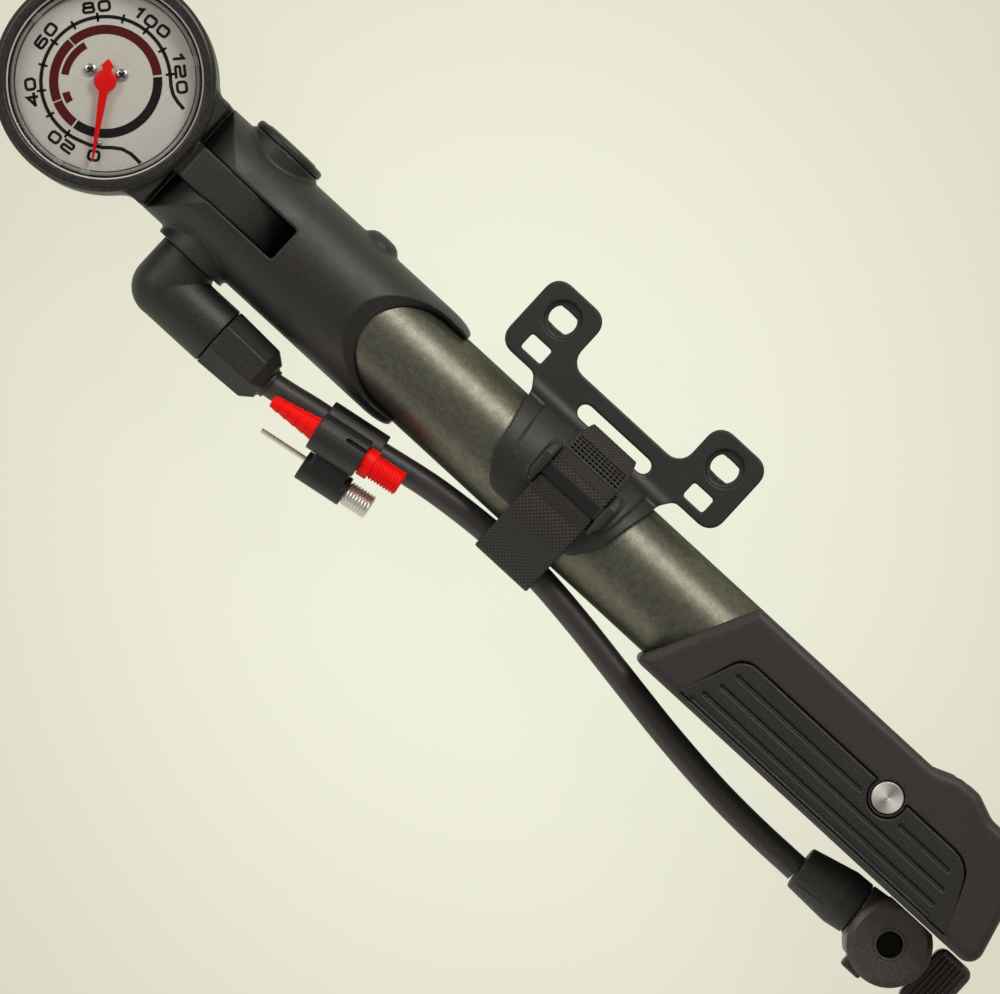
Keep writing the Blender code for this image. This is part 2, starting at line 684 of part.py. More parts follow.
def build_head():
    """The moulded head: round body, fork, side bosses, screw boss and the scooped collar."""
    rear = PIVOT_X - FORK_END_RADIUS - HEAD_RADIUS
    head = turned("pump_head", [
        (0, HEAD_SEAT), (HEAD_BORE, HEAD_SEAT), (HEAD_BORE, HEAD_FRONT), (HEAD_TIP_RADIUS, HEAD_FRONT),
        (HEAD_RADIUS, HEAD_FRONT - HEAD_TIP_TAPER), (HEAD_RADIUS, rear), (0, rear)], closed=False,
                  steps=GAUGE_STEPS)
    tall = HEAD_RADIUS + FORK_END_RADIUS
    keep = plate("fork_round", [arc((PIVOT_X, 0), FORK_END_RADIUS, math.pi / 2, 3 * math.pi / 2, 24)
                                + [(-HEAD_FRONT, -FORK_END_RADIUS), (-HEAD_FRONT, FORK_END_RADIUS)]],
                 -tall, tall, FACE_XZ)
    change(head, keep, "INTERSECT")
    inner = HEAD_RADIUS / 2
    join(head,
         cylinder("cap_boss", BOSS_RADIUS, (PIVOT_X, inner, 0), (PIVOT_X, BOSS_CAP_SIDE, 0), steps=32),
         cylinder("hose_boss", BOSS_RADIUS, (PIVOT_X, -inner, 0), (PIVOT_X, -BOSS_HOSE_SIDE, 0),
                  steps=32),
         cylinder("screw_boss", SCREW_BOSS_RADIUS, (SCREW_X, HEAD_BORE + GAP, 0),
                  (SCREW_X, SCREW_BOSS_HEIGHT, 0),
                  far_radius=SCREW_BOSS_TIP))
    half_slot = FORK_SLOT_WIDTH / 2
    screw_floor = SCREW_BOSS_HEIGHT - SCREW_LENGTH - GAP
    bevel = plate("scoop_bevel", [scoop_outline(SCOOP_LENGTH - SCOOP_STRAIGHT + SCOOP_BEVEL,
                                                SCOOP_HALF_WIDTH + SCOOP_SIDE_BEVEL)], -tall, tall)
    cut(bevel, cylinder("scoop_core", HEAD_RADIUS - SCOOP_BEVEL_DEPTH, (rear, 0, 0), (-rear, 0, 0),
                        steps=GAUGE_STEPS))
    cut(head,
        block("fork_slot", (rear, -half_slot, -tall), (FORK_WALL_X, half_slot, tall)),
        cylinder("axle_hole", AXLE_RADIUS + GAP, (PIVOT_X, -tall, 0), (PIVOT_X, tall, 0)),
        cylinder("spigot_hole", SPIGOT_RADIUS + GAP, (PIVOT_X, -tall, 0),
                 (PIVOT_X, -BOSS_HOSE_SIDE + SPIGOT_LENGTH + SEAL_THICKNESS + 2 * GAP, 0)),
        cylinder("screw_hole", SCREW_RADIUS + GAP, (SCREW_X, screw_floor, 0), (SCREW_X, tall, 0)),
        cylinder("valve_pocket", VALVE_RADIUS + GAP, (HEAD_SEAT - VALVE_LENGTH - GAP, 0, 0), (0, 0, 0)),
        bevel,
        plate("scoop", [scoop_outline(SCOOP_LENGTH - SCOOP_STRAIGHT, SCOOP_HALF_WIDTH)], -tall, tall))
    make_part(head, "black_plastic")

    screw = cylinder("head_screw", SCREW_RADIUS, (SCREW_X, SCREW_BOSS_HEIGHT - SCREW_LENGTH, 0),
                     (SCREW_X, SCREW_BOSS_HEIGHT, 0))
    make_part(soften(screw, SCREW_RADIUS / 4), "steel")
    valve = turned("check_valve", [(0, HEAD_SEAT), (VALVE_RADIUS, HEAD_SEAT),
                                   (VALVE_RADIUS, HEAD_SEAT - VALVE_LENGTH / 3),
                                   (VALVE_RADIUS / 2, HEAD_SEAT - VALVE_LENGTH / 2),
                                   (VALVE_RADIUS / 2, HEAD_SEAT - VALVE_LENGTH),
                                   (0, HEAD_SEAT - VALVE_LENGTH)],
                   steps=SMALL_STEPS, closed=False)
    make_part(valve, "brass")


def build_pivot():
    """The axle through fork and tongue, and the cap that closes its free end."""
    axle = cylinder("pivot_axle", AXLE_RADIUS,
                    (PIVOT_X, -BOSS_HOSE_SIDE + SPIGOT_LENGTH + SEAL_THICKNESS + 3 * GAP, 0),
                    (PIVOT_X, BOSS_CAP_SIDE, 0))
    make_part(axle, "brass")
    low = BOSS_CAP_SIDE + GAP
    cap = turned("pivot_cap", [(0, CAP_END_Y), (BOSS_RADIUS - CAP_EDGE, CAP_END_Y),
                               (BOSS_RADIUS - CAP_EDGE * CAP_ROUND, CAP_END_Y - CAP_EDGE * CAP_ROUND),
                               (BOSS_RADIUS, CAP_END_Y - CAP_EDGE), (BOSS_RADIUS, low), (0, low)],
                 ALONG_Y, (PIVOT_X, 0, 0), closed=False, steps=32)
    make_part(cap, "black_plastic")


def build_gauge_case():
    """The gauge's cup with its neck and tongue, the bezel ring and the lens."""
    centre = (GAUGE_X, 0, 0)
    axis = "gauge_axis"
    edge = arc((GAUGE_RADIUS - GAUGE_EDGE, GAUGE_BOTTOM + GAUGE_EDGE), GAUGE_EDGE, 0, -math.pi / 2, 5)
    case = turned("gauge_housing", [(0, GAUGE_RIM),
                                    (GAUGE_RADIUS, GAUGE_RIM)] + edge + [(0, GAUGE_BOTTOM)],
                  ALONG_Z, centre, axis, steps=GAUGE_STEPS, closed=False)
    reach = math.sqrt((GAUGE_RADIUS + NECK_FILLET) ** 2 - (NECK_HALF_WIDTH + NECK_FILLET) ** 2)
    meet = math.atan2(NECK_HALF_WIDTH + NECK_FILLET, reach)
    upper = arc((GAUGE_X + reach, NECK_HALF_WIDTH + NECK_FILLET), NECK_FILLET, -math.pi / 2,
                meet - math.pi, 6)
    lower = [(x, -y) for x, y in reversed(upper)]
    neck = plate("gauge_neck", [[(NECK_END_X, NECK_HALF_WIDTH)] + upper + [(GAUGE_X, GAUGE_RADIUS / 2)]
                                + [(GAUGE_X, -GAUGE_RADIUS / 2)] + lower + [(NECK_END_X,
                                                                             -NECK_HALF_WIDTH)]],
                 NECK_BOTTOM, NECK_TOP, carrier=axis)
    half = TONGUE_WIDTH / 2
    back = NECK_END_X - GAUGE_FLOOR
    tongue = plate("gauge_tongue", [arc((PIVOT_X, 0), TONGUE_RADIUS, math.pi / 2,
                                        -math.pi / 2 - math.pi / 5, 28)
                                    + [(NECK_END_X, NECK_BOTTOM), (back, NECK_BOTTOM), (back, NECK_TOP),
                                       (NECK_END_X, NECK_TOP),
                                       (NECK_END_X + NECK_FILLET / 2, TONGUE_RADIUS)]],
                   -half, half, FACE_XZ, axis)
    lens_seat = LENS_LEVEL - GAP
    ledge = DIAL_LEVEL - GAP
    hollow = turned("gauge_hollow", [
        (0, GAUGE_RADIUS), (LENS_RADIUS + GAP, GAUGE_RADIUS), (LENS_RADIUS + GAP, lens_seat),
        (DIAL_RADIUS + GAP, lens_seat), (DIAL_RADIUS + GAP, ledge), (CASE_RADIUS, ledge),
        (CASE_RADIUS, GAUGE_BOTTOM + GAUGE_FLOOR), (0, GAUGE_BOTTOM + GAUGE_FLOOR)],
        ALONG_Z, centre, axis, steps=GAUGE_STEPS, closed=False)
    lip = block("neck_lip", (back, -NECK_HALF_WIDTH, NECK_BOTTOM),
                (NECK_END_X + NECK_LIP, NECK_HALF_WIDTH, -GAP), axis)
    cut(lip, cylinder("lip_round", FORK_END_RADIUS + NECK_GAP, (PIVOT_X, -GAUGE_RADIUS, 0),
                      (PIVOT_X, GAUGE_RADIUS, 0),
                      axis, steps=GAUGE_STEPS))
    join(case, neck, lip, tongue)
    cut(case, hollow, cylinder("tongue_hole", AXLE_RADIUS + GAP, (PIVOT_X, -GAUGE_RADIUS, 0),
                               (PIVOT_X, GAUGE_RADIUS, 0), axis))
    make_part(case, "black_plastic")

    inner = GAUGE_RADIUS - BEZEL_WIDTH
    low = GAUGE_RIM + GAP
    bezel = turned("gauge_bezel", [(inner, BEZEL_TOP - BEZEL_EDGE), (inner + BEZEL_EDGE, BEZEL_TOP),
                                   (GAUGE_RADIUS - BEZEL_EDGE, BEZEL_TOP),
                                   (GAUGE_RADIUS, BEZEL_TOP - BEZEL_EDGE),
                                   (GAUGE_RADIUS, low), (inner, low)], ALONG_Z, centre, axis,
                   steps=GAUGE_STEPS)
    make_part(bezel, "black_plastic")
    lens = cylinder("gauge_lens", LENS_RADIUS, (GAUGE_X, 0, LENS_LEVEL), (GAUGE_X, 0, GAUGE_RIM), axis,
                    steps=GAUGE_STEPS)
    make_part(lens, "lens_clear")


def gear_outline(teeth, first, last, phase):
    """Straight-sided teeth from one index to another, as points round the gear's middle."""
    pitch = GEAR_MODULE * teeth / 2
    root = pitch - GEAR_DEDENDUM * GEAR_MODULE
    tip = pitch + GEAR_ADDENDUM * GEAR_MODULE
    step = math.tau / teeth
    thick = step / 4 - GEAR_BACKLASH / pitch / 2
    outline = []
    for i in range(first, last + 1):
        middle = phase + i * step
        for r, s in ((root, -TOOTH_ROOT), (tip, -TOOTH_TIP), (tip, TOOTH_TIP), (root, TOOTH_ROOT)):
            outline.append((r * math.cos(middle + s * thick), r * math.sin(middle + s * thick)))
    return outline


def build_movement():
    """What the pressure drives: socket, bent tube, plate, sector, staff with pinion, dial and pointer."""
    axis = "gauge_axis"
    centre = (GAUGE_X, 0, 0)
    socket_end = GAUGE_X + CASE_RADIUS - SOCKET_INSET
    floor = GAUGE_BOTTOM + GAUGE_FLOOR + GAP
    socket = block("gauge_socket", (socket_end - SOCKET_LENGTH, -SOCKET_HALF_WIDTH, floor),
                   (socket_end, SOCKET_HALF_WIDTH, MOVEMENT_LEVEL - GAP), axis)
    make_part(soften(socket, SOCKET_INSET / 3), "brass")

    curve = bpy.data.curves.new("bourdon_tube", "CURVE")
    curve.dimensions = "3D"
    curve.bevel_depth = BOURDON_TUBE_RADIUS
    curve.bevel_resolution = 2
    curve.use_fill_caps = True
    route = arc((0, 0), BOURDON_RADIUS, BOURDON_START, BOURDON_END, 26)
    spline = curve.splines.new("POLY")
    spline.points.add(len(route) - 1)
    for point, (x, y) in zip(spline.points, route):
        point.co = (x, y, 0, 1)
    tube = place("bourdon_guide", curve, at=(GAUGE_X, 0, BOURDON_LEVEL), carrier=axis)
    make_part(curve_to_mesh(tube, "bourdon_tube"), "brass")

    stud = (GAUGE_X, SECTOR_Y, 0)
    edge_x = socket_end - GAP - GAUGE_X
    holder = plate("movement_plate", [rounded([(edge_x, -SOCKET_HALF_WIDTH, PLATE_CORNER),
                                               (edge_x, SOCKET_HALF_WIDTH, PLATE_CORNER),
                                               (-SECTOR_HUB, SOCKET_HALF_WIDTH, PLATE_BEND),
                                               (-MOVEMENT_RADIUS / 2, 0, PLATE_BEND),
                                               (-SECTOR_HUB, SECTOR_Y - SECTOR_HUB, 2 * PLATE_CORNER),
                                               (SECTOR_HUB, SECTOR_Y - SECTOR_HUB, 2 * PLATE_CORNER)])],
                   MOVEMENT_LEVEL, MOVEMENT_TOP, carrier=axis, about=centre)
    post_top = GEAR_LEVEL + GEAR_THICKNESS + GAP
    join(holder, cylinder("sector_stud", STUD_RADIUS, (stud[0], stud[1], MOVEMENT_LEVEL + GAP),
                          (stud[0], stud[1], post_top), axis))
    make_part(holder, "brass")

    aim = math.pi / 2
    step = math.tau / SECTOR_TEETH
    hub = arc((0, 0), SECTOR_HUB, aim + step * SECTOR_LAST + SECTOR_WAIST,
              aim + step * SECTOR_FIRST - SECTOR_WAIST + math.tau, 14)
    sector = plate("sector_gear", [gear_outline(SECTOR_TEETH, SECTOR_FIRST, SECTOR_LAST, aim) + hub],
                   GEAR_LEVEL, GEAR_LEVEL + GEAR_THICKNESS, carrier="sector_axis", about=stud)
    cut(sector, cylinder("stud_hole", STUD_RADIUS + GAP, (stud[0], stud[1], 0),
                         (stud[0], stud[1], GAUGE_RIM),
                         "sector_axis"))
    make_part(sector, "brass")

    staff = plate("pointer_staff", [gear_outline(PINION_TEETH, 0, PINION_TEETH - 1,
                                                 -math.pi / 2 + math.pi / PINION_TEETH)],
                  GEAR_LEVEL, GEAR_LEVEL + GEAR_THICKNESS, carrier="pointer_axis", about=centre)
    join(staff, cylinder("staff_shaft", STAFF_RADIUS, (GAUGE_X, 0, GEAR_LEVEL + GAP),
                         (GAUGE_X, 0, POINTER_LEVEL - GAP), "pointer_axis", steps=12))
    make_part(staff, "brass")

    dial = cylinder("dial_plate", DIAL_RADIUS, (GAUGE_X, 0, DIAL_LEVEL), (GAUGE_X, 0, DIAL_TOP), axis,
                    steps=GAUGE_STEPS)
    cut(dial, cylinder("staff_hole", STAFF_RADIUS + STAFF_CLEARANCE, (GAUGE_X, 0, 0),
                       (GAUGE_X, 0, GAUGE_RIM), axis))
    for i, (x, y) in enumerate(DIAL_SCREW_POINTS):
        at = (GAUGE_X + x, y, 0)
        cut(dial, cylinder("dial_screw_hole_%d" % i, DIAL_SCREW_SHANK + GAP, at, (at[0], y, GAUGE_RIM),
                           axis, steps=12))
        head = DIAL_TOP + GAP
        screw = turned("dial_screw_%d" % (i + 1), [
            (0, head + DIAL_SCREW_HEIGHT), (DIAL_SCREW_HEAD / 2, head + DIAL_SCREW_HEIGHT),
            (DIAL_SCREW_HEAD, head + DIAL_SCREW_HEIGHT / 3), (DIAL_SCREW_HEAD, head),
                                                   (DIAL_SCREW_SHANK, head),
            (DIAL_SCREW_SHANK, MOVEMENT_TOP + GAP), (0, MOVEMENT_TOP + GAP)],
            ALONG_Z, at, axis, steps=12, closed=False)
        make_part(screw, "steel")
    make_part(dial, "dial_silver")

    hold = (POINTER_ROOT + STOP_PIN_RADIUS) / STOP_PIN_REACH
    at = Vector((GAUGE_X, 0, 0)) + STOP_PIN_REACH * Vector((math.cos(POINTER_ZERO + hold),
                                                            math.sin(POINTER_ZERO + hold), 0))
    pin = cylinder("stop_pin", STOP_PIN_RADIUS, at + Vector((0, 0, DIAL_TOP + GAP)),
                   at + Vector((0, 0, DIAL_TOP + STOP_PIN_HEIGHT)), axis, steps=10)
    make_part(pin, "steel")

    needle = plate("pointer", [[(POINTER_LENGTH, -POINTER_TIP), (POINTER_LENGTH, POINTER_TIP),
                                (0, POINTER_ROOT),
                                (-POINTER_TAIL, POINTER_TIP), (-POINTER_TAIL, -POINTER_TIP),
                                (0, -POINTER_ROOT)]],
                   POINTER_LEVEL, POINTER_LEVEL + POINTER_THICKNESS, carrier="pointer_axis", about=centre,
                   spin=POINTER_ZERO)
    join(needle, cylinder("pointer_boss", POINTER_HUB, (GAUGE_X, 0, POINTER_LEVEL),
                          (GAUGE_X, 0, POINTER_LEVEL + POINTER_THICKNESS + GAP), "pointer_axis"))
    make_part(needle, "pointer_red")


def build_hose_fitting():
    """The elbow under the head, its seal, the nut and the barb that the hose is pushed on."""
    spigot_top = -BOSS_HOSE_SIDE + SPIGOT_LENGTH
    flange = -BOSS_HOSE_SIDE - GAP
    corner = (PIVOT_X, ELBOW_Y, 0)
    elbow = cylinder("hose_elbow", ELBOW_RADIUS, (PIVOT_X, flange, 0), corner, steps=32)
    join(elbow,
         cylinder("elbow_leg", ELBOW_RADIUS - GAP / 2, corner, (ELBOW_END, ELBOW_Y, 0), steps=32),
         ball("elbow_corner", ELBOW_RADIUS - GAP, (PIVOT_X + GAP, ELBOW_Y + GAP, 0), steps=32),
         cylinder("elbow_spigot", SPIGOT_RADIUS, (PIVOT_X, ELBOW_Y, 0), (PIVOT_X, spigot_top, 0)))
    make_part(elbow, "black_plastic")
    seal_low = spigot_top + GAP
    seal = turned("elbow_seal", [(AXLE_RADIUS / 2, seal_low + SEAL_THICKNESS),
                                 (SPIGOT_RADIUS, seal_low + SEAL_THICKNESS), (SPIGOT_RADIUS, seal_low),
                                 (AXLE_RADIUS / 2, seal_low)], ALONG_Y, (PIVOT_X, 0, 0),
                  steps=SMALL_STEPS)
    make_part(seal, "seal_rubber")

    corner_radius = 1 / math.cos(math.pi / NUT_SIDES)
    rear = ELBOW_END + GAP
    bore = BARB_RADIUS + GAP
    shoulder = NUT_END - NUT_NOSE_LENGTH
    nut = turned("hose_nut", [(bore, NUT_END), (NUT_NOSE_RADIUS * corner_radius, NUT_END),
                              ((NUT_FLAT_RADIUS - NUT_TAPER) * corner_radius, shoulder),
                              (NUT_FLAT_RADIUS * corner_radius, rear), (bore, rear)],
                 at=(0, ELBOW_Y, 0), steps=NUT_SIDES, start_angle=math.pi / NUT_SIDES)
    cut(nut, cylinder("nut_bore", bore, (rear - GAP, ELBOW_Y, 0), (NUT_END + GAP, ELBOW_Y, 0)))
    make_part(nut, "black_plastic")

    length = (NUT_END - rear - GAP) / BARB_RIDGES
    profile = [(0, NUT_END - GAP)]
    for i in range(BARB_RIDGES):
        top = NUT_END - GAP - i * length
        profile += [(BARB_ROOT, top), (BARB_RADIUS, top - length * BARB_CREST),
                    (BARB_ROOT, top - length * BARB_VALLEY)]
    profile += [(BARB_ROOT, rear), (0, rear)]
    make_part(turned("hose_barb", profile, at=(0, ELBOW_Y, 0), steps=SMALL_STEPS, closed=False), "brass")


def smooth_route(points, step):
    """Points a step apart on the smooth curve through the route's own points."""
    points = [Vector(p) for p in points]
    ends = [2 * points[0] - points[1]] + points + [2 * points[-1] - points[-2]]
    route = []
    for before, a, b, after in zip(ends, ends[1:], ends[2:], ends[3:]):
        count = max(1, round((b - a).length / step))
        for i in range(count):
            t = i / count
            route.append(0.5 * (2 * a + (b - before) * t + (2 * before - 5 * a + 4 * b - after) * t ** 2
                                + (3 * a - before - 3 * b + after) * t ** 3))
    return route + [points[-1]]


def hose_tube(name, route, carrier):
    """One stretch of hose as a round tube along its route."""
    curve = bpy.data.curves.new(name, "CURVE")
    curve.dimensions = "3D"
    curve.bevel_depth = HOSE_RADIUS
    curve.bevel_resolution = 4
    curve.use_fill_caps = True
    spline = curve.splines.new("POLY")
    spline.points.add(len(route) - 1)
    for point, at in zip(spline.points, route):
        point.co = (*at, 1)
    make_part(curve_to_mesh(place(name + "_guide", curve, carrier=carrier), name), "hose_rubber")


def build_hose():
    """The hose in two stretches, parted where it leaves the strap."""
    route = smooth_route(HOSE_ROUTE, HOSE_STEP)
    split = min(range(len(route)), key=lambda i: (route[i] - Vector(HOSE_ROUTE[HOSE_SPLIT])).length)
    along = (route[split + 1] - route[split]).normalized()
    hose_tube("hose", route[:split + 1], "pump_frame")
    hose_tube("hose_tail", [route[split] + along * 2 * GAP] + route[split + 1:], "chuck_axis")


def build_adapters():
    """The clip on the hose with the bladder adapter and the ball needle in its tubes."""
    axis = "clip_axis"
    half = CLIP_LENGTH / 2
    bore = HOSE_RADIUS + GAP
    clip = cylinder("adapter_clip", bore + CLIP_WALL, (-half, 0, 0), (half, 0, 0), axis, steps=24)
    bx, by, bz = BLADDER_TUBE_AT
    nx, ny, nz = NEEDLE_TUBE_AT
    b_low, b_high = bx - BLADDER_TUBE_LENGTH / 2, bx + BLADDER_TUBE_LENGTH / 2
    n_low, n_high = nx - NEEDLE_TUBE_LENGTH / 2, nx + NEEDLE_TUBE_LENGTH / 2
    join(clip,
         cylinder("bladder_tube", BLADDER_TUBE_RADIUS, (b_low, by, bz), (b_high, by, bz), axis, steps=24),
         cylinder("needle_tube", NEEDLE_TUBE_RADIUS, (n_low, ny, nz), (n_high, ny, nz), axis),
         block("clip_web", (n_low + CLIP_WALL, ny, nz),
               (n_high - CLIP_WALL, by, bz - BLADDER_BODY_RADIUS), axis))
    reach = CLIP_LENGTH
    cut(clip,
        cylinder("clip_bore", bore, (-reach, 0, 0), (reach, 0, 0), axis, steps=24),
        block("clip_mouth", (-reach, -CLIP_MOUTH / 2, -reach), (reach, CLIP_MOUTH / 2, 0), axis),
        cylinder("bladder_bore", BLADDER_BODY_RADIUS + GAP, (bx - reach, by, bz), (bx + reach, by, bz),
                 axis),
        cylinder("needle_bore", NEEDLE_BODY_RADIUS + GAP, (nx - reach, ny, nz), (nx + reach, ny, nz),
                 axis))
    make_part(clip, "black_plastic")

    seat = b_high + GAP
    flange = seat + BLADDER_FLANGE_LENGTH
    profile = [(0, flange + BLADDER_THREAD_LENGTH),
               (BLADDER_THREAD_RADIUS, flange + BLADDER_THREAD_LENGTH),
               (BLADDER_THREAD_RADIUS, flange), (BLADDER_FLANGE_RADIUS, flange),
               (BLADDER_FLANGE_RADIUS, seat),
               (BLADDER_BODY_RADIUS, seat)]
    for i in range(BLADDER_NOSE_STEPS):
        fall = (BLADDER_NOSE_ROOT - BLADDER_NOSE_TIP) / BLADDER_NOSE_STEPS
        radius = BLADDER_NOSE_ROOT - i * fall
        length = BLADDER_NOSE_LENGTH / BLADDER_NOSE_STEPS
        profile += [(radius, b_low - i * length),
                    (radius - NOSE_TAPER * fall, b_low - (i + NOSE_STEP) * length)]
    profile.append((0, b_low - BLADDER_NOSE_LENGTH * NOSE_END))
    make_part(turned("bladder_adapter", profile, at=(0, by, bz), carrier=axis, steps=SMALL_STEPS,
                     closed=False),
              "red_plastic")

    top = n_high + GAP
    needle = turned("needle_adapter", [
        (0, top + NEEDLE_THREAD_LENGTH), (NEEDLE_THREAD_RADIUS, top + NEEDLE_THREAD_LENGTH),
        (NEEDLE_THREAD_RADIUS, top), (NEEDLE_BODY_RADIUS, top), (NEEDLE_BODY_RADIUS, n_low),
        (NEEDLE_RADIUS, n_low), (NEEDLE_RADIUS, n_low - NEEDLE_LENGTH), (0, n_low - NEEDLE_LENGTH)],
        at=(0, ny, nz), carrier=axis, steps=SMALL_STEPS, closed=False)
    make_part(needle, "steel")


def bracket_outline():
    """The bracket seen from above: two tabs, the strip between them and the saddle's tongue."""
    left = BOLT_MIDDLE_X - BOLT_PITCH / 2 - TAB_WIDTH / 2
    inner = left + TAB_WIDTH
    span = BOLT_MIDDLE_X * 2
    half = [(left, TAB_LOW_Y, TAB_CORNER), (left, TAB_HIGH_Y, TAB_CORNER),
            (inner, TAB_HIGH_Y, TAB_CORNER),
            (inner, STRIP_EDGE_Y, TAB_CORNER)]
    saddle = [(inner + LIP_INSET, SADDLE_EDGE_Y, LIP_ROUND),
              (inner + HIP_INSET, SADDLE_EDGE_Y + HIP_RISE, HIP_ROUND),
              (inner - WAIST_INSET, TAB_LOW_Y - WAIST_DROP, WAIST_ROUND),
              (inner - TAB_ROOT_INSET, TAB_LOW_Y, TAB_ROOT_ROUND)]
    mirror = [(span - x, y, r) for x, y, r in reversed(half)]
    mirror += [(span - x, y, r) for x, y, r in reversed(saddle)]
    return rounded(half + mirror + saddle)


def saddle_section():
    """The bracket seen along the barrel: the saddle's arc running out into the flat plate."""
    lean = math.asin(SADDLE_EDGE_Y / SADDLE_OUTER)
    reach = math.sqrt((SADDLE_OUTER + SADDLE_FILLET) ** 2 - (PLATE_TOP + SADDLE_FILLET) ** 2)
    meet = math.atan2(PLATE_TOP + SADDLE_FILLET, reach)
    top = arc((0, 0), SADDLE_OUTER, math.pi / 2 - lean + SADDLE_OVERLAP, meet, 20)
    fillet = arc((reach, PLATE_TOP + SADDLE_FILLET), SADDLE_FILLET, math.pi + meet, 3 * math.pi / 2, 6)
    under = arc((0, 0), SADDLE_INNER, math.asin(PLATE_LOW / SADDLE_INNER),
                math.pi / 2 - lean + SADDLE_OVERLAP, 24)
    return top + fillet + [(TAB_HIGH_Y * 2, PLATE_TOP), (TAB_HIGH_Y * 2, PLATE_LOW)] + under


def ear_section():
    """One of the two ears that carry the strap bar, seen along the barrel."""
    root = (SADDLE_INNER + SADDLE_OUTER) / 2
    low = math.acos(EAR_HIGH_Y / root)
    high = math.acos(EAR_LOW_Y / root)
    return arc((0, 0), root, low, high, 8) + [(EAR_LOW_Y, EAR_TOP - EAR_HEIGHT),
                                              (EAR_LOW_Y + EAR_HEIGHT, EAR_TOP),
                                             (EAR_HIGH_Y - 2 * EAR_HEIGHT, EAR_TOP),
                                             (EAR_HIGH_Y, EAR_TOP - EAR_SLOPE * EAR_HEIGHT)]


def build_bracket():
    """The moulded bracket: its plan outline and its section share one solid, then come ears, bar and holes."""
    bracket = plate("mount_bracket", [bracket_outline()], -PLATE_TOP, SADDLE_OUTER + PLATE_TOP)
    section = plate("saddle", [saddle_section()], -TAB_HIGH_Y, 3 * TAB_HIGH_Y, FACE_YZ)
    change(bracket, section, "INTERSECT")
    half = STRAP_WIDTH / 2 + GAP
    for i, side in enumerate((-1, 1)):
        near = STRAP_X + side * half
        far = near + side * EAR_WIDTH
        ear = plate("ear_%d" % i, [ear_section()], min(near, far), max(near, far), FACE_YZ)
        join(bracket, soften(ear, EAR_EDGE))
    bar = block("strap_bar", (STRAP_X - half - EAR_WIDTH / 2, BAR_LOW_Y, BAR_LOW),
                (STRAP_X + half + EAR_WIDTH / 2, BAR_HIGH_Y, BAR_LOW + BAR_THICKNESS))
    join(bracket, bar)
    above = 2 * SADDLE_OUTER
    slot_y = (STRAP_SLOT_LOW_Y + STRAP_SLOT_HIGH_Y) / 2
    cut(bracket, plate("strap_slot", [slot_outline((STRAP_SLOT_X, slot_y), STRAP_SLOT_LENGTH,
                                                   STRAP_SLOT_HIGH_Y - STRAP_SLOT_LOW_Y)], -above, above))
    for i, side in enumerate((-1, 1)):
        x = BOLT_MIDDLE_X + side * BOLT_PITCH / 2
        cut(bracket,
            plate("bolt_slot_%d" % i, [slot_outline((x, BOLT_Y), BOLT_SLOT_LENGTH, BOLT_SLOT_WIDTH)],
                  -above, above),
            cylinder("bolt_recess_%d" % i, BOLT_RECESS_RADIUS, (x, BOLT_Y, PLATE_TOP - BOLT_RECESS_DEPTH),
                     (x, BOLT_Y, above)),
            plate("window_%d" % i, [rectangle((x, WINDOW_Y), WINDOW_LENGTH, WINDOW_WIDTH)], -above,
                  above))
    make_part(bracket, "black_plastic")


def hull(points):
    """The taut outline round a set of points."""
    points = sorted(set(points))

    def chain(ordered):
        line = []
        for p in ordered:
            while len(line) > 1 and ((line[-1][0] - line[-2][0]) * (p[1] - line[-2][1])
                                     <= (line[-1][1] - line[-2][1]) * (p[0] - line[-2][0])):
                line.pop()
            line.append(p)
        return line[:-1]

    return chain(points) + chain(reversed(points))


def strap_loop(grow):
    """What the strap goes round, seen along the barrel: saddle, slot edge, barrel and hose."""
    grow += GAP
    hose = HOSE_ROUTE[HOSE_SPLIT - 1]
    corners = ((STRAP_SLOT_LOW_Y, PLATE_TOP + GAP), (STRAP_SLOT_LOW_Y, PLATE_LOW))
    points = arc((0, 0), SADDLE_OUTER + grow, STRAP_ARC_START, STRAP_ARC_END, 22)
    points += arc((0, 0), BARREL_RADIUS + grow, math.pi, math.tau, 28)
    points += circle((hose[1], hose[2]), HOSE_RADIUS + grow, 24)
    for corner in corners:
        points += circle(corner, grow, 16)
    return hull(points)


def build_strap():
    """The webbing strap as a taut band round barrel, bracket and hose."""
    low = STRAP_X - STRAP_WIDTH / 2
    strap = plate("mount_strap", [strap_loop(STRAP_THICKNESS), strap_loop(0)], low, low + STRAP_WIDTH,
                  FACE_YZ)
    make_part(strap, "strap_web")


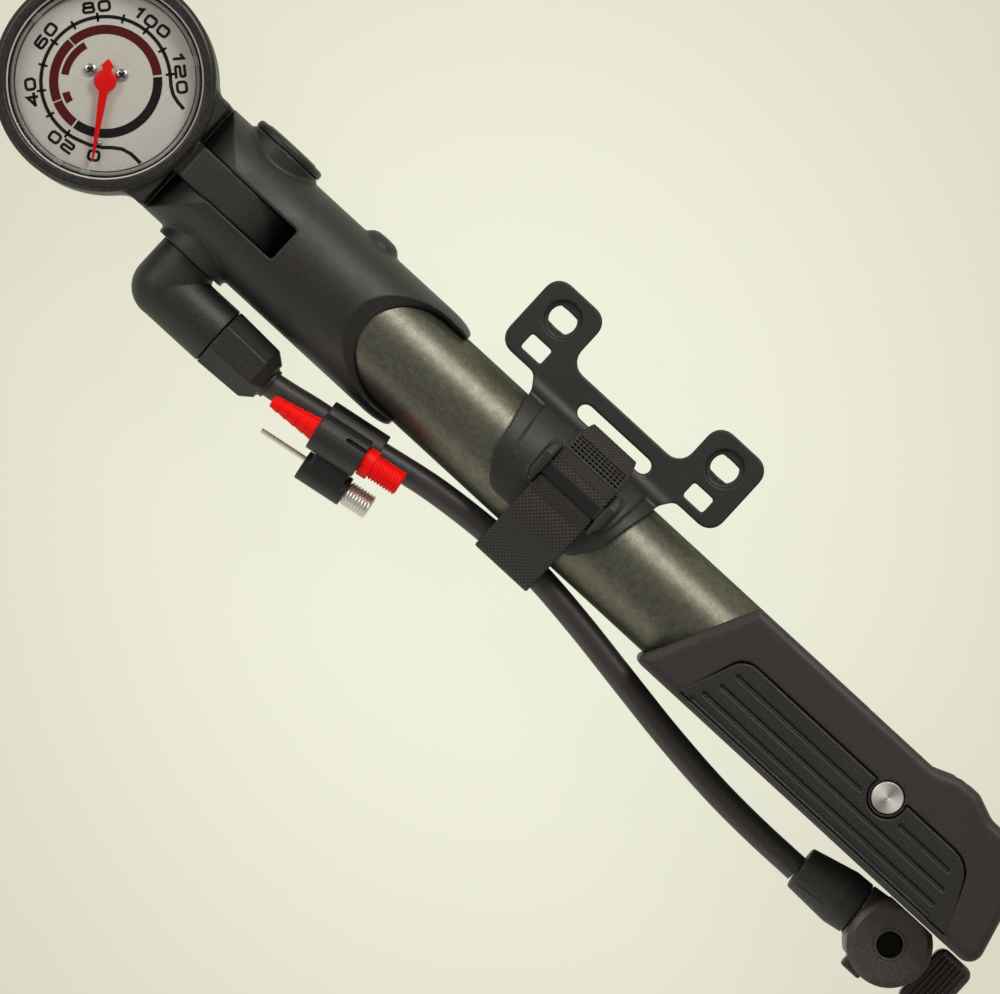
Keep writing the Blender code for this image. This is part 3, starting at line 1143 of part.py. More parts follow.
def build_plunger():
    """The piston with its seal, the rod, the guide at the barrel's mouth and the knuckle at the handle pin."""
    axis = "plunger_axis"
    radius = BORE_RADIUS - PISTON_CLEARANCE
    groove = radius - PISTON_GROOVE_DEPTH
    middle = (PISTON_REAR + PISTON_FRONT) / 2
    low, high = middle - PISTON_GROOVE_WIDTH / 2, middle + PISTON_GROOVE_WIDTH / 2
    piston = turned("piston", [(0, PISTON_FRONT), (radius, PISTON_FRONT), (radius, high), (groove, high),
                               (groove, low),
                               (radius, low), (radius, PISTON_REAR), (0, PISTON_REAR)], carrier=axis,
                    closed=False)
    make_part(piston, "black_plastic")
    seal_radius = BORE_RADIUS - GAP
    seal = turned("piston_seal", [(groove + GAP, high - GAP), (seal_radius, high - GAP),
                                  (seal_radius, low + GAP),
                                  (groove + GAP, low + GAP)], carrier=axis)
    make_part(seal, "seal_rubber")
    rod_end = KNUCKLE_STUB_X + KNUCKLE_SOCKET_DEPTH
    rod = cylinder("piston_rod", ROD_RADIUS, (PISTON_FRONT + GAP, 0, 0), (rod_end - GAP, 0, 0), axis,
                   steps=24)
    make_part(rod, "steel")

    body = BORE_RADIUS - GAP
    bore = ROD_RADIUS + GAP
    seat = BARREL_FRONT + GAP
    guide = turned("rod_guide", [(bore, GUIDE_END), (BARREL_RADIUS, GUIDE_END), (BARREL_RADIUS, seat),
                                 (body, seat),
                                 (body, BARREL_FRONT - GUIDE_LENGTH),
                                 (bore, BARREL_FRONT - GUIDE_LENGTH)])
    make_part(guide, "black_plastic")

    tall = KNUCKLE_HALF_HEIGHT
    knuckle = cylinder("rod_knuckle", KNUCKLE_RADIUS, (PIN_X, PIN_Y, -tall), (PIN_X, PIN_Y, tall), axis,
                       steps=32)
    join(knuckle, cylinder("knuckle_stub", KNUCKLE_STUB_RADIUS, (KNUCKLE_STUB_X, 0, 0), (PIN_X, 0, 0),
                           axis, steps=24))
    cut(knuckle,
        cylinder("knuckle_hole", PIN_RADIUS + GAP, (PIN_X, PIN_Y, -2 * tall), (PIN_X, PIN_Y, 2 * tall),
                 axis),
        cylinder("rod_socket", bore, (BARREL_FRONT, 0, 0), (rod_end, 0, 0), axis, steps=24))
    make_part(knuckle, "black_plastic")


def handle_outline():
    """The handle seen from above: slanted front rim, straight grip side, open side with its bump."""
    bump = (HANDLE_BUMP_X - HANDLE_BUMP_LENGTH / 2, HANDLE_BUMP_X + HANDLE_BUMP_LENGTH / 2)
    return rounded([
        (HANDLE_FRONT_GRIP_X, HANDLE_GRIP_Y, 0), (HANDLE_END_GRIP_X, HANDLE_GRIP_Y, HANDLE_END_ROUND),
        (HANDLE_END_OPEN_X, HANDLE_OPEN_Y, HANDLE_RAMP_ROUND),
        (bump[1] + HANDLE_BUMP_RAMP, HANDLE_OPEN_Y, HANDLE_RAMP_ROUND),
                    (bump[1], HANDLE_BUMP_Y, HANDLE_END_ROUND),
        (bump[0], HANDLE_BUMP_Y, HANDLE_END_ROUND),
                    (bump[0] - HANDLE_BUMP_RAMP, HANDLE_OPEN_Y, HANDLE_RAMP_ROUND),
        (HANDLE_FRONT_OPEN_X, HANDLE_OPEN_Y, 0)])


def grip_outline(shrink):
    """The soft panel on the grip side, seen from above, drawn in by a fit on every side."""
    low = HANDLE_GRIP_Y + GRIP_BACK_INSET + shrink
    high = GRIP_EDGE_Y - shrink
    pin = PIN_HEAD_RADIUS + GRIP_MARGIN + shrink
    rise = math.asin((high - PIN_Y) / pin)
    round_pin = arc((PIN_X, PIN_Y), pin, math.pi - rise, math.tau + rise, 14)
    notch = [(x, y, 0) for x, y in round_pin]
    return rounded([(GRIP_FRONT_X + shrink, low, 0),
                    (GRIP_FRONT_TOP_X + shrink, high, GRIP_ROUND)] + notch
                   + [(GRIP_END_TOP_X - shrink, high, GRIP_END_ROUND), (GRIP_END_X - shrink, low, 0)])


def grip_grooves():
    """The middle, length and level of each groove; the first one stops short of the pin on both sides."""
    grooves = []
    for i in range(GROOVE_COUNT):
        y = GROOVE_FIRST_Y - i * GROOVE_PITCH
        ends = [GROOVE_FRONT_X - i * GROOVE_LEAN, GROOVE_END_X + i * GROOVE_LEAN]
        if i == 0:
            ends[1:1] = [PIN_X - GROOVE_PIN_ROOM, PIN_X + GROOVE_PIN_ROOM]
        grooves += [((start + end) / 2, end - start, y) for start, end in zip(ends[::2], ends[1::2])]
    return grooves


def build_handle():
    """The folding handle: a channelled shell, a soft panel on each face and the steel pin."""
    axis = "handle_axis"
    deep = HANDLE_HALF_DEPTH
    channel = CHANNEL_RADIUS
    shell = soften(plate("handle_shell", [handle_outline()], -deep, deep, carrier=axis), HANDLE_EDGE, 3)
    open_side = 2 * HANDLE_BUMP_Y
    bed = plate("barrel_bed", [arc((0, 0), channel, math.pi / 2, 3 * math.pi / 2, 24)
                               + [(open_side, -channel), (open_side, channel)]], 0, PIN_X + GAP, FACE_YZ,
                axis)
    stop = math.asin((channel + PIN_Y) / FOLD_RADIUS)
    lead = math.atan2(PIN_X - GUIDE_END, channel + FOLD_CLEARANCE)
    sweep = plate("fold_sweep", [arc((PIN_X, PIN_Y), FOLD_RADIUS, lead - FOLD_LEAD, math.pi + stop, 24)
                                  + [(PIN_X, PIN_Y)]],
                  GAP - channel, channel - GAP, carrier=axis)
    room = channel + GAP / 2
    head_low = deep - PIN_HEAD_HEIGHT - GAP
    pin_axis = (PIN_X, PIN_Y, 0)
    above = Vector((0, 0, 2 * deep))
    folded_x = PIN_X - PIN_Y
    folded_y = PIN_Y + PIN_X - GUIDE_END - FOLD_CLEARANCE
    fold_bed = cylinder("fold_bed", channel - GAP / 2, (folded_x, folded_y, 0),
                        (folded_x, 2 * open_side, 0), axis,
                        steps=ROUND_STEPS)
    cut(shell, bed, sweep, fold_bed,
        cylinder("knuckle_room", KNUCKLE_RADIUS + 2 * GAP, (PIN_X, PIN_Y, -room), (PIN_X, PIN_Y, room),
                 axis,
                 steps=ROUND_STEPS),
        cylinder("pin_hole", PIN_RADIUS + GAP, Vector(pin_axis) - above, Vector(pin_axis) + above, axis))
    for i, side in enumerate((1, -1)):
        face = side * deep
        floor = side * (deep - GRIP_DEPTH - GAP)
        cut(shell,
            cylinder("pin_seat_%d" % i, PIN_HEAD_RADIUS + GAP, (PIN_X, PIN_Y, side * head_low),
                     (PIN_X, PIN_Y, 2 * face), axis),
            plate("grip_bed_%d" % i, [grip_outline(0)], min(floor, 2 * face), max(floor, 2 * face),
                  carrier=axis))
        low = side * (deep - GRIP_DEPTH)
        pad = plate(("grip_pad_front", "grip_pad_back")[i], [grip_outline(GAP)], min(low, face),
                    max(low, face), carrier=axis)
        depth = side * (deep - GROOVE_DEPTH)
        for j, (x, run, y) in enumerate(grip_grooves()):
            cut(pad, plate("groove_%d_%d" % (i, j), [slot_outline((x, y), run, GROOVE_WIDTH, 4)],
                           min(depth, 2 * face), max(depth, 2 * face), carrier=axis))
        make_part(pad, "grip_rubber")
    make_part(shell, "black_plastic")

    inner = deep - PIN_HEAD_HEIGHT
    pin = turned("handle_pin", [(0, deep), (PIN_HEAD_RADIUS, deep), (PIN_HEAD_RADIUS, inner),
                                (PIN_RADIUS, inner),
                                (PIN_RADIUS, -inner), (PIN_HEAD_RADIUS, -inner), (PIN_HEAD_RADIUS, -deep),
                                (0, -deep)],
                 ALONG_Z, pin_axis, axis, steps=24, closed=False)
    make_part(pin, "steel")


def build_chuck():
    """The lever chuck on the hose: sleeve, body, cap, gasket, lever and its pin."""
    axis = "chuck_axis"
    neck = Vector((SLEEVE_START, HOSE_END.y + SLEEVE_NECK_SHIFT, HOSE_END.z))
    flare = Vector((SLEEVE_END - GAP, CHUCK_Y + SLEEVE_SHIFT, HOSE_END.z))
    along = (flare - neck).normalized()
    sleeve = cylinder("chuck_sleeve", SLEEVE_NECK_RADIUS, neck, flare, axis, far_radius=SLEEVE_RADIUS,
                      steps=ROUND_STEPS)
    make_part(sleeve, "black_plastic")

    flats = ((CHUCK_X - CHUCK_RADIUS * 2, CHUCK_Y - CHUCK_HALF_FLAT, -HANDLE_HALF_DEPTH),
             (CHUCK_X + CHUCK_RADIUS * 2, CHUCK_Y + CHUCK_HALF_FLAT, HANDLE_HALF_DEPTH))
    body = cylinder("chuck_body", CHUCK_RADIUS, (CHUCK_X, CHUCK_Y, CHUCK_BOTTOM),
                    (CHUCK_X, CHUCK_Y, CHUCK_TOP), axis, steps=40)
    change(body, block("chuck_flats", *flats, axis), "INTERSECT")
    join(body, cylinder("chuck_stub", CHUCK_STUB_RADIUS, flare + along * GAP,
                        flare + along * CHUCK_STUB_LENGTH, axis,
                        steps=ROUND_STEPS))
    room = LEVER_CAM_WIDTH / 2 + GAP
    cam = LEVER_CAM_RADIUS + 2 * GAP
    pocket = CHUCK_TOP - CHUCK_GASKET_DEPTH - GAP
    low_y, high_y = CHUCK_Y - CHUCK_RADIUS, CHUCK_Y + CHUCK_RADIUS
    cut(body,
        block("lever_slot", (LEVER_X - cam, CHUCK_Y - room, CHUCK_BOTTOM * 2),
              (CHUCK_X + CHUCK_RADIUS * 2, CHUCK_Y + room, LEVER_Z + cam), axis),
        cylinder("gasket_pocket", CHUCK_GASKET_RADIUS + GAP, (CHUCK_X, CHUCK_Y, pocket),
                 (CHUCK_X, CHUCK_Y, CHUCK_CAP_TOP), axis),
        cylinder("lever_pin_hole", LEVER_PIN_RADIUS + GAP, (LEVER_X, low_y, LEVER_Z),
                 (LEVER_X, high_y, LEVER_Z), axis))
    make_part(body, "black_plastic")

    cap_low = CHUCK_TOP + GAP
    cap = turned("chuck_cap", [(CHUCK_MOUTH_RADIUS, CHUCK_CAP_TOP),
                               (CHUCK_RADIUS - CHUCK_CAP_EDGE, CHUCK_CAP_TOP),
                               (CHUCK_RADIUS, CHUCK_CAP_TOP - CHUCK_CAP_EDGE), (CHUCK_RADIUS, cap_low),
                               (CHUCK_MOUTH_RADIUS, cap_low)], ALONG_Z, (CHUCK_X, CHUCK_Y, 0), axis)
    change(cap, block("cap_flats", *flats, axis), "INTERSECT")
    make_part(cap, "black_plastic")
    gasket = turned("chuck_gasket", [(CHUCK_VALVE_RADIUS, CHUCK_TOP), (CHUCK_GASKET_RADIUS, CHUCK_TOP),
                                     (CHUCK_GASKET_RADIUS, pocket + GAP),
                                     (CHUCK_VALVE_RADIUS, pocket + GAP)],
                    ALONG_Z, (CHUCK_X, CHUCK_Y, 0), axis, steps=24)
    make_part(gasket, "seal_rubber")

    head = LEVER_PIN_END - LEVER_PIN_HEAD_HEIGHT
    top = CHUCK_Y + CHUCK_HALF_FLAT
    pin = turned("lever_pin", [(0, top), (LEVER_PIN_RADIUS, top), (LEVER_PIN_RADIUS, LEVER_PIN_END),
                               (LEVER_PIN_HEAD, LEVER_PIN_END), (LEVER_PIN_HEAD, head), (0, head)],
                 ALONG_Y, (LEVER_X, 0, LEVER_Z), axis, steps=SMALL_STEPS, closed=False)
    make_part(pin, "black_plastic")

    axis = "lever_axis"
    half = LEVER_CAM_WIDTH / 2
    lever = cylinder("chuck_lever", LEVER_CAM_RADIUS, (LEVER_X, CHUCK_Y - half, LEVER_Z),
                     (LEVER_X, CHUCK_Y + half, LEVER_Z), axis, steps=24)
    near, far = LEVER_X + LEVER_PAD_NEAR, LEVER_X + LEVER_PAD_NEAR + LEVER_PAD_LENGTH
    low, high = LEVER_Z + LEVER_PAD_LOW, LEVER_Z + LEVER_NECK_HIGH
    wide = LEVER_PAD_WIDTH / 2
    pad = soften(block("lever_pad", (near, CHUCK_Y - wide, low), (far, CHUCK_Y + wide, high), axis),
                 LEVER_RIB_DEPTH)
    join(lever, pad, block("lever_neck", (LEVER_X, CHUCK_Y - half, LEVER_Z + LEVER_NECK_LOW),
                           (near + LEVER_RIB_DEPTH * 2, CHUCK_Y + half, high - LEVER_RIB_DEPTH / 2),
                           axis))
    for i in range(LEVER_RIBS):
        x = far - (i + 1) * LEVER_RIB_PITCH
        cut(lever, block("lever_groove_%d" % i,
                         (x - LEVER_RIB_PITCH / 4, CHUCK_Y - 2 * wide, high - LEVER_RIB_DEPTH),
                         (x + LEVER_RIB_PITCH / 4, CHUCK_Y + 2 * wide, high + LEVER_RIB_DEPTH), axis))
    cut(lever, cylinder("lever_hole", LEVER_PIN_RADIUS + GAP, (LEVER_X, CHUCK_Y - wide, LEVER_Z),
                        (LEVER_X, CHUCK_Y + wide, LEVER_Z), axis))
    make_part(lever, "black_plastic")


def main():
    """Build the whole pump."""
    clear_scene()
    make_collections()
    make_carriers()
    make_materials()
    build_barrel()
    build_head()
    build_pivot()
    build_gauge_case()
    build_movement()
    build_hose_fitting()
    build_hose()
    build_adapters()
    build_bracket()
    build_strap()
    build_plunger()
    build_handle()
    build_chuck()


main()
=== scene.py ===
"""Dresses the packed tyre mini pump: smooth mouldings, painted barrel, printed dial, webbing and hose."""
import math

import bmesh
import bpy
from mathutils import Matrix, Vector


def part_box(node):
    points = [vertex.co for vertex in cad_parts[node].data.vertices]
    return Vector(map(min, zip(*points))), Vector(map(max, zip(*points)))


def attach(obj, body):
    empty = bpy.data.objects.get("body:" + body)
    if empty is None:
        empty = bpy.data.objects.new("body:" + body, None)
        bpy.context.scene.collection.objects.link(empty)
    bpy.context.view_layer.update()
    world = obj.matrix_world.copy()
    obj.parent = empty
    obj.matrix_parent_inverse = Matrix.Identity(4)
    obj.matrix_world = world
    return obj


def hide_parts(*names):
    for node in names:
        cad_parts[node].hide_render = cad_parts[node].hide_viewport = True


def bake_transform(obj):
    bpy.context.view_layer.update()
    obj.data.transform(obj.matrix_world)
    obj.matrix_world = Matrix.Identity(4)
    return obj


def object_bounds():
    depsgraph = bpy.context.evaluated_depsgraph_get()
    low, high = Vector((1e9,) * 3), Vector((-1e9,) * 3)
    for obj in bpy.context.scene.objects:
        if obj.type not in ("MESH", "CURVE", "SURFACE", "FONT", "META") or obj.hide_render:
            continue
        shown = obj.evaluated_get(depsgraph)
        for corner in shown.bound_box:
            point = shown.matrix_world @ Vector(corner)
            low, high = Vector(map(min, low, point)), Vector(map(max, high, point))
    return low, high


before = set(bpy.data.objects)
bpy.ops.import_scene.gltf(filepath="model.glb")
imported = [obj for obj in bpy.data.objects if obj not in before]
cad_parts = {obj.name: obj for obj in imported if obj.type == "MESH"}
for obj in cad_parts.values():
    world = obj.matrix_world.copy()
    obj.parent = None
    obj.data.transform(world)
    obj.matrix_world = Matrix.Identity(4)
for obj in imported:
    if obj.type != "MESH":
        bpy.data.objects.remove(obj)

bl_info = {
    "name": "Tyre mini pump",
    "version": (1, 0, 0),
    "blender": (4, 5, 0),
    "location": "View3D > Sidebar > Pump",
    "description": "Builds the finished surfaces of a tyre mini pump round its packed frame",
    "category": "Object",
}

CAD_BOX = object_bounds()

# The pump's own frame has the barrel axis as X, the bracket at +Y and the dial at +Z
BARREL_LOW, BARREL_HIGH = (Vector(corner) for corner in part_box("barrel_tube"))
BARREL_FRONT = 0.1580
ORIGIN = Vector((BARREL_HIGH.x - BARREL_FRONT, (BARREL_LOW.y + BARREL_HIGH.y) / 2,
                 (BARREL_LOW.z + BARREL_HIGH.z) / 2))
TO_ROW = Matrix.Translation(ORIGIN)
BARREL_RADIUS = (BARREL_HIGH.y - BARREL_LOW.y) / 2
# Axis that the gauge flips about and the hole for its axle
PIVOT_X = -0.0770
AXLE_HOLE = 0.0043
# Gap between pieces that fit in one another
FIT = 0.0003

# Turns that bring a shape's own Z axis on to a pump axis
ALONG_X = Matrix.Rotation(math.pi / 2, 4, "Y")
ALONG_Y = Matrix.Rotation(-math.pi / 2, 4, "X")
ALONG_Z = Matrix.Identity(4)
# Turns that stand a flat outline up, and the direction that it is extruded in
FACE_XY = (ALONG_Z, Vector((0, 0, 1)))
FACE_XZ = (Matrix.Rotation(math.pi / 2, 4, "X"), Vector((0, 1, 0)))
FACE_YZ = (Matrix.Rotation(math.pi / 2, 4, "Z") @ FACE_XZ[0], Vector((1, 0, 0)))


# Mesh tools

def angles(start, end, steps):
    """Angles in even steps, both ends among them."""
    return [start + (end - start) * i / steps for i in range(steps + 1)]


def arc(centre, radius, start, end, steps=16):
    """Points along a circle between two angles."""
    return [(centre[0] + radius * math.cos(t), centre[1] + radius * math.sin(t))
            for t in angles(start, end, steps)]


def rounded(corners, steps=8, closed=True):
    """An outline or profile whose corners, given as (a, b, radius), are rounded."""
    outline = []
    last = len(corners) - 1
    for i, (a, b, radius) in enumerate(corners):
        if radius == 0 or (not closed and i in (0, last)):
            outline.append((a, b))
            continue
        here = Vector((a, b))
        before = (Vector(corners[i - 1][:2]) - here).normalized()
        after = (Vector(corners[(i + 1) % len(corners)][:2]) - here).normalized()
        half = before.angle(after) / 2
        middle = here + (before + after).normalized() * (radius / math.sin(half))
        first = here + before * (radius / math.tan(half)) - middle
        second = here + after * (radius / math.tan(half)) - middle
        start = math.atan2(first.y, first.x)
        turn = math.remainder(math.atan2(second.y, second.x) - start, math.tau)
        outline += arc(middle, radius, start, start + turn, steps)
    return outline


def oblong(centre, length, width, steps=12):
    """A slot outline with round ends along the first axis."""
    reach = (length - width) / 2
    right = arc((centre[0] + reach, centre[1]), width / 2, -math.pi / 2, math.pi / 2, steps)
    return right + arc((centre[0] - reach, centre[1]), width / 2, math.pi / 2, 3 * math.pi / 2, steps)


def add_object(name, mesh):
    """Link a mesh to the scene as an object at the origin."""
    obj = bpy.data.objects.new(name, mesh)
    bpy.context.scene.collection.objects.link(obj)
    return obj


def from_bmesh(name, bm, turn=ALONG_Z, at=(0, 0, 0)):
    """An object from a bmesh that was drawn about a point of the pump's frame."""
    bmesh.ops.remove_doubles(bm, verts=bm.verts, dist=1e-7)
    bmesh.ops.recalc_face_normals(bm, faces=bm.faces)
    bm.transform(TO_ROW @ Matrix.Translation(at) @ turn)
    mesh = bpy.data.meshes.new(name)
    bm.to_mesh(mesh)
    bm.free()
    return add_object(name, mesh)


def revolve(name, profile, turn=ALONG_X, at=(0, 0, 0), segments=96, closed=False):
    """Turn a profile of (radius, height) points about an axis of the pump."""
    bm = bmesh.new()
    rings = []
    for radius, height in profile:
        if radius < 1e-7:
            rings.append([bm.verts.new((0, 0, height))] * segments)
            continue
        rings.append([bm.verts.new((radius * math.cos(t), radius * math.sin(t), height))
                      for t in angles(0, math.tau, segments)[:-1]])
    pairs = list(zip(rings, rings[1:]))
    if closed:
        pairs.append((rings[-1], rings[0]))
    for upper, lower in pairs:
        for i in range(segments):
            j = (i + 1) % segments
            corners = list(dict.fromkeys((upper[i], upper[j], lower[j], lower[i])))
            if len(corners) > 2:
                bm.faces.new(corners)
    return from_bmesh(name, bm, turn, at)


def bake(obj):
    """Turn an object's modifiers into its plain mesh."""
    bpy.context.view_layer.update()
    graph = bpy.context.evaluated_depsgraph_get()
    mesh = bpy.data.meshes.new_from_object(obj.evaluated_get(graph))
    obj.modifiers.clear()
    obj.data = mesh
    return obj


def prism(name, outlines, low, high, face=FACE_XY, at=(0, 0, 0), spin=0.0):
    """Extrude a flat outline, with holes as further outlines, between two levels."""
    curve = bpy.data.curves.new(name, "CURVE")
    curve.dimensions = "2D"
    curve.fill_mode = "BOTH"
    curve.extrude = (high - low) / 2
    for outline in outlines:
        spline = curve.splines.new("POLY")
        spline.points.add(len(outline) - 1)
        for point, (a, b) in zip(spline.points, outline):
            point.co = (a, b, 0, 1)
        spline.use_cyclic_u = True
    turn, across = face
    place = TO_ROW @ Matrix.Translation(Vector(at) + across * (low + high) / 2)
    return curve_mesh(name, curve, place @ Matrix.Rotation(spin, 4, "Z") @ turn)


def curve_mesh(name, curve, place):
    """Make a mesh object of a curve or text, with its place in the mesh."""
    guide = bpy.data.objects.new(name + "_guide", curve)
    bpy.context.scene.collection.objects.link(guide)
    bpy.context.view_layer.update()
    graph = bpy.context.evaluated_depsgraph_get()
    mesh = bpy.data.meshes.new_from_object(guide.evaluated_get(graph))
    bpy.data.objects.remove(guide, do_unlink=True)
    bm = bmesh.new()
    bm.from_mesh(mesh)
    bpy.data.meshes.remove(mesh)
    bmesh.ops.remove_doubles(bm, verts=bm.verts, dist=1e-6)
    bmesh.ops.dissolve_limit(bm, angle_limit=math.radians(0.3), verts=bm.verts, edges=bm.edges)
    bmesh.ops.recalc_face_normals(bm, faces=bm.faces)
    bm.transform(place)
    result = bpy.data.meshes.new(name)
    bm.to_mesh(result)
    bm.free()
    return add_object(name, result)


def box(name, low, high):
    """A plain block between two corners of the pump's frame, used as a cutter or a boss."""
    low, high = Vector(low), Vector(high)
    bm = bmesh.new()
    bmesh.ops.create_cube(bm, size=1)
    bmesh.ops.scale(bm, vec=high - low, verts=bm.verts)
    return from_bmesh(name, bm, at=(low + high) / 2)


def rod(name, radius, start, end, segments=64):
    """A round bar between two points of the pump's frame."""
    start, end = Vector(start), Vector(end)
    length = (end - start).length
    turn = (end - start).to_track_quat("Z", "Y").to_matrix().to_4x4()
    return revolve(name, [(0, length), (radius, length), (radius, 0), (0, 0)], turn, start, segments)


def combine(obj, operation, *tools):
    """Cut, join or intersect an object with others, which are used up."""
    for tool in tools:
        modifier = obj.modifiers.new(tool.name, "BOOLEAN")
        modifier.operation = operation
        modifier.object = tool
    bake(obj)
    for tool in tools:
        bpy.data.objects.remove(tool, do_unlink=True)
    return obj


def cut(obj, *tools):
    """Take tools out of an object."""
    return combine(obj, "DIFFERENCE", *tools)


def join(obj, *tools):
    """Add tools to an object."""
    return combine(obj, "UNION", *tools)


def mould(obj, voxel, rounds):
    """Give a cut shape the soft edges of a moulding: an even skin, smoothed."""
    remesh = obj.modifiers.new("skin", "REMESH")
    remesh.mode = "VOXEL"
    remesh.voxel_size = voxel
    smooth = obj.modifiers.new("soften", "SMOOTH")
    smooth.factor = 0.5
    smooth.iterations = rounds
    return bake(obj)


def paint(obj, *names):
    """Add materials to an object's own list."""
    for name in names:
        obj.data.materials.append(bpy.data.materials[name])
    return obj


def shade(obj, sharp):
    """Shade a piece smooth, apart from edges over a number of degrees; with 0, all of it."""
    obj.data.shade_smooth()
    if sharp:
        obj.data.set_sharp_from_angle(angle=math.radians(sharp))


def finish_piece(obj, material, body, node, sharp=35):
    """Shade a piece, give it its material and let it ride in place of the node it stands for."""
    obj.data.materials.clear()
    shade(paint(obj, material), sharp)
    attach(obj, body)
    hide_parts(node)


def spot(x, y, z):
    """A point of the pump's frame in the row frame."""
    return ORIGIN + Vector((x, y, z))


def move(obj, change):
    """Move, turn or scale an object by a matrix of the pump's frame."""
    obj.data.transform(TO_ROW @ change @ TO_ROW.inverted())
    return obj


def node_box(node):
    """A node's lowest and highest corners in the pump's frame."""
    low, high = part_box(node)
    return Vector(low) - ORIGIN, Vector(high) - ORIGIN


def node_copy(name, node):
    """A piece that starts as a copy of a node's own solid."""
    piece = add_object(name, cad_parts[node].data.copy())
    bm = bmesh.new()
    bm.from_mesh(piece.data)
    bmesh.ops.remove_doubles(bm, verts=bm.verts, dist=1e-6)
    bmesh.ops.recalc_face_normals(bm, faces=bm.faces)
    bm.to_mesh(piece.data)
    bm.free()
    return piece


def rounded_mixed(corners):
    """An outline with nearly sharp corners where no rounding is given."""
    return rounded([(a, b, r or 0.00001) for a, b, r in corners], 6)


def round_edges(obj, width, segments):
    """Round every hard edge of a plain shape."""
    bevel = obj.modifiers.new("edges", "BEVEL")
    bevel.width = width
    bevel.segments = segments
    bevel.use_clamp_overlap = False
    bevel.limit_method = "ANGLE"
    bevel.angle_limit = math.radians(40)
    return bake(obj)


def merge(name, pieces):
    """One object from several meshes, which are used up; the materials stay with their faces."""
    bm = bmesh.new()
    materials = []
    for piece in pieces:
        first = len(bm.faces)
        bm.from_mesh(piece.data)
        bm.faces.ensure_lookup_table()
        own = list(piece.data.materials)
        for face in bm.faces[first:]:
            material = own[face.material_index] if own else None
            if material not in materials:
                materials.append(material)
            face.material_index = materials.index(material)
        bpy.data.objects.remove(piece, do_unlink=True)
    mesh = bpy.data.meshes.new(name)
    bm.to_mesh(mesh)
    bm.free()
    for material in materials:
        mesh.materials.append(material)
    return add_object(name, mesh)


# Shader groups and materials

def new_group(name, inputs, outputs):
    """An empty shader node group with float inputs (name, default) and named outputs."""
    group = bpy.data.node_groups.new(name, "ShaderNodeTree")
    for label, default in inputs:
        socket = group.interface.new_socket(label, in_out="INPUT", socket_type="NodeSocketFloat")
        socket.default_value = default
    for label in outputs:
        group.interface.new_socket(label, in_out="OUTPUT", socket_type="NodeSocketFloat")
    return group, group.nodes.new("NodeGroupInput"), group.nodes.new("NodeGroupOutput")


def add_node(tree, kind, links=None, **values):
    """A node with its properties, its socket values and its incoming links set."""
    node = tree.nodes.new(kind)
    for label, value in values.items():
        if hasattr(node, label):
            setattr(node, label, value)
        else:
            node.inputs[label].default_value = value
    for label, source in (links or {}).items():
        tree.links.new(source, node.inputs[label])
    return node


def give(tree, result, **values):
    """Link values to the outputs of a group."""
    for label, value in values.items():
        tree.links.new(value, result.inputs[label])


def reckon(tree, operation, *values):
    """A Math node on sockets or plain numbers."""
    node = add_node(tree, "ShaderNodeMath", operation=operation)
    for socket, value in zip(node.inputs, values):
        if isinstance(value, (int, float)):
            socket.default_value = value
        else:
            tree.links.new(value, socket)
    return node.outputs["Value"]


def vary(tree, factor, low, high, start=0.0, end=1.0):
    """Map a mask, from one value to another, on to a range of values."""
    ranges = {"From Min": start, "From Max": end, "To Min": low, "To Max": high}
    return add_node(tree, "ShaderNodeMapRange", {"Value": factor}, **ranges).outputs["Result"]


def object_place(tree):
    """Coordinates of the object's own frame."""
    return add_node(tree, "ShaderNodeTexCoord").outputs["Object"]


def make_grain_group():
    """Texture of a moulding, over the object's own coordinates: a fine height, its speckle and a slow mottle."""
    tree, given, result = new_group("moulded_grain", [("Scale", 1600.0)], ["Height", "Mottle", "Speckle"])
    place = object_place(tree)
    fine = add_node(tree, "ShaderNodeTexNoise", {"Vector": place, "Scale": given.outputs["Scale"]},
                    Detail=3.0, Roughness=0.6).outputs["Fac"]
    slow = add_node(tree, "ShaderNodeTexNoise", {"Vector": place}, Scale=90.0, Detail=3.0).outputs["Fac"]
    give(tree, result, Height=fine, Mottle=vary(tree, slow, 0.0, 1.0, 0.3, 0.7),
         Speckle=vary(tree, fine, 0.0, 1.0, 0.35, 0.65))


def make_flake_group():
    """Metallic paint: small flakes of different brightness and tilt."""
    tree, given, result = new_group("metal_flake", [("Scale", 1500.0)], ["Flake", "Height"])
    place = object_place(tree)
    cells = add_node(tree, "ShaderNodeTexVoronoi", {"Vector": place, "Scale": given.outputs["Scale"]})
    tone = add_node(tree, "ShaderNodeSeparateColor", {"Color": cells.outputs["Color"]})
    cloud = add_node(tree, "ShaderNodeTexNoise", {"Vector": place}, Scale=500.0, Detail=2.0)
    give(tree, result, Flake=reckon(tree, "MULTIPLY", tone.outputs["Red"], cloud.outputs["Fac"]),
         Height=tone.outputs["Green"])


def make_brushed_group():
    """Fine lines along the object's Y axis, for brushed or turned metal."""
    tree, given, result = new_group("brushed_lines", [("Across", 2400.0), ("Along", 60.0)], ["Line"])
    place = object_place(tree)
    stretch = add_node(tree, "ShaderNodeCombineXYZ",
                       {"X": given.outputs["Across"], "Y": given.outputs["Along"], "Z": given.outputs["Across"]})
    scaled = add_node(tree, "ShaderNodeVectorMath", operation="MULTIPLY")
    tree.links.new(place, scaled.inputs[0])
    tree.links.new(stretch.outputs["Vector"], scaled.inputs[1])
    lines = add_node(tree, "ShaderNodeTexNoise", {"Vector": scaled.outputs["Vector"]}, Scale=1.0, Detail=3.0)
    give(tree, result, Line=lines.outputs["Fac"])


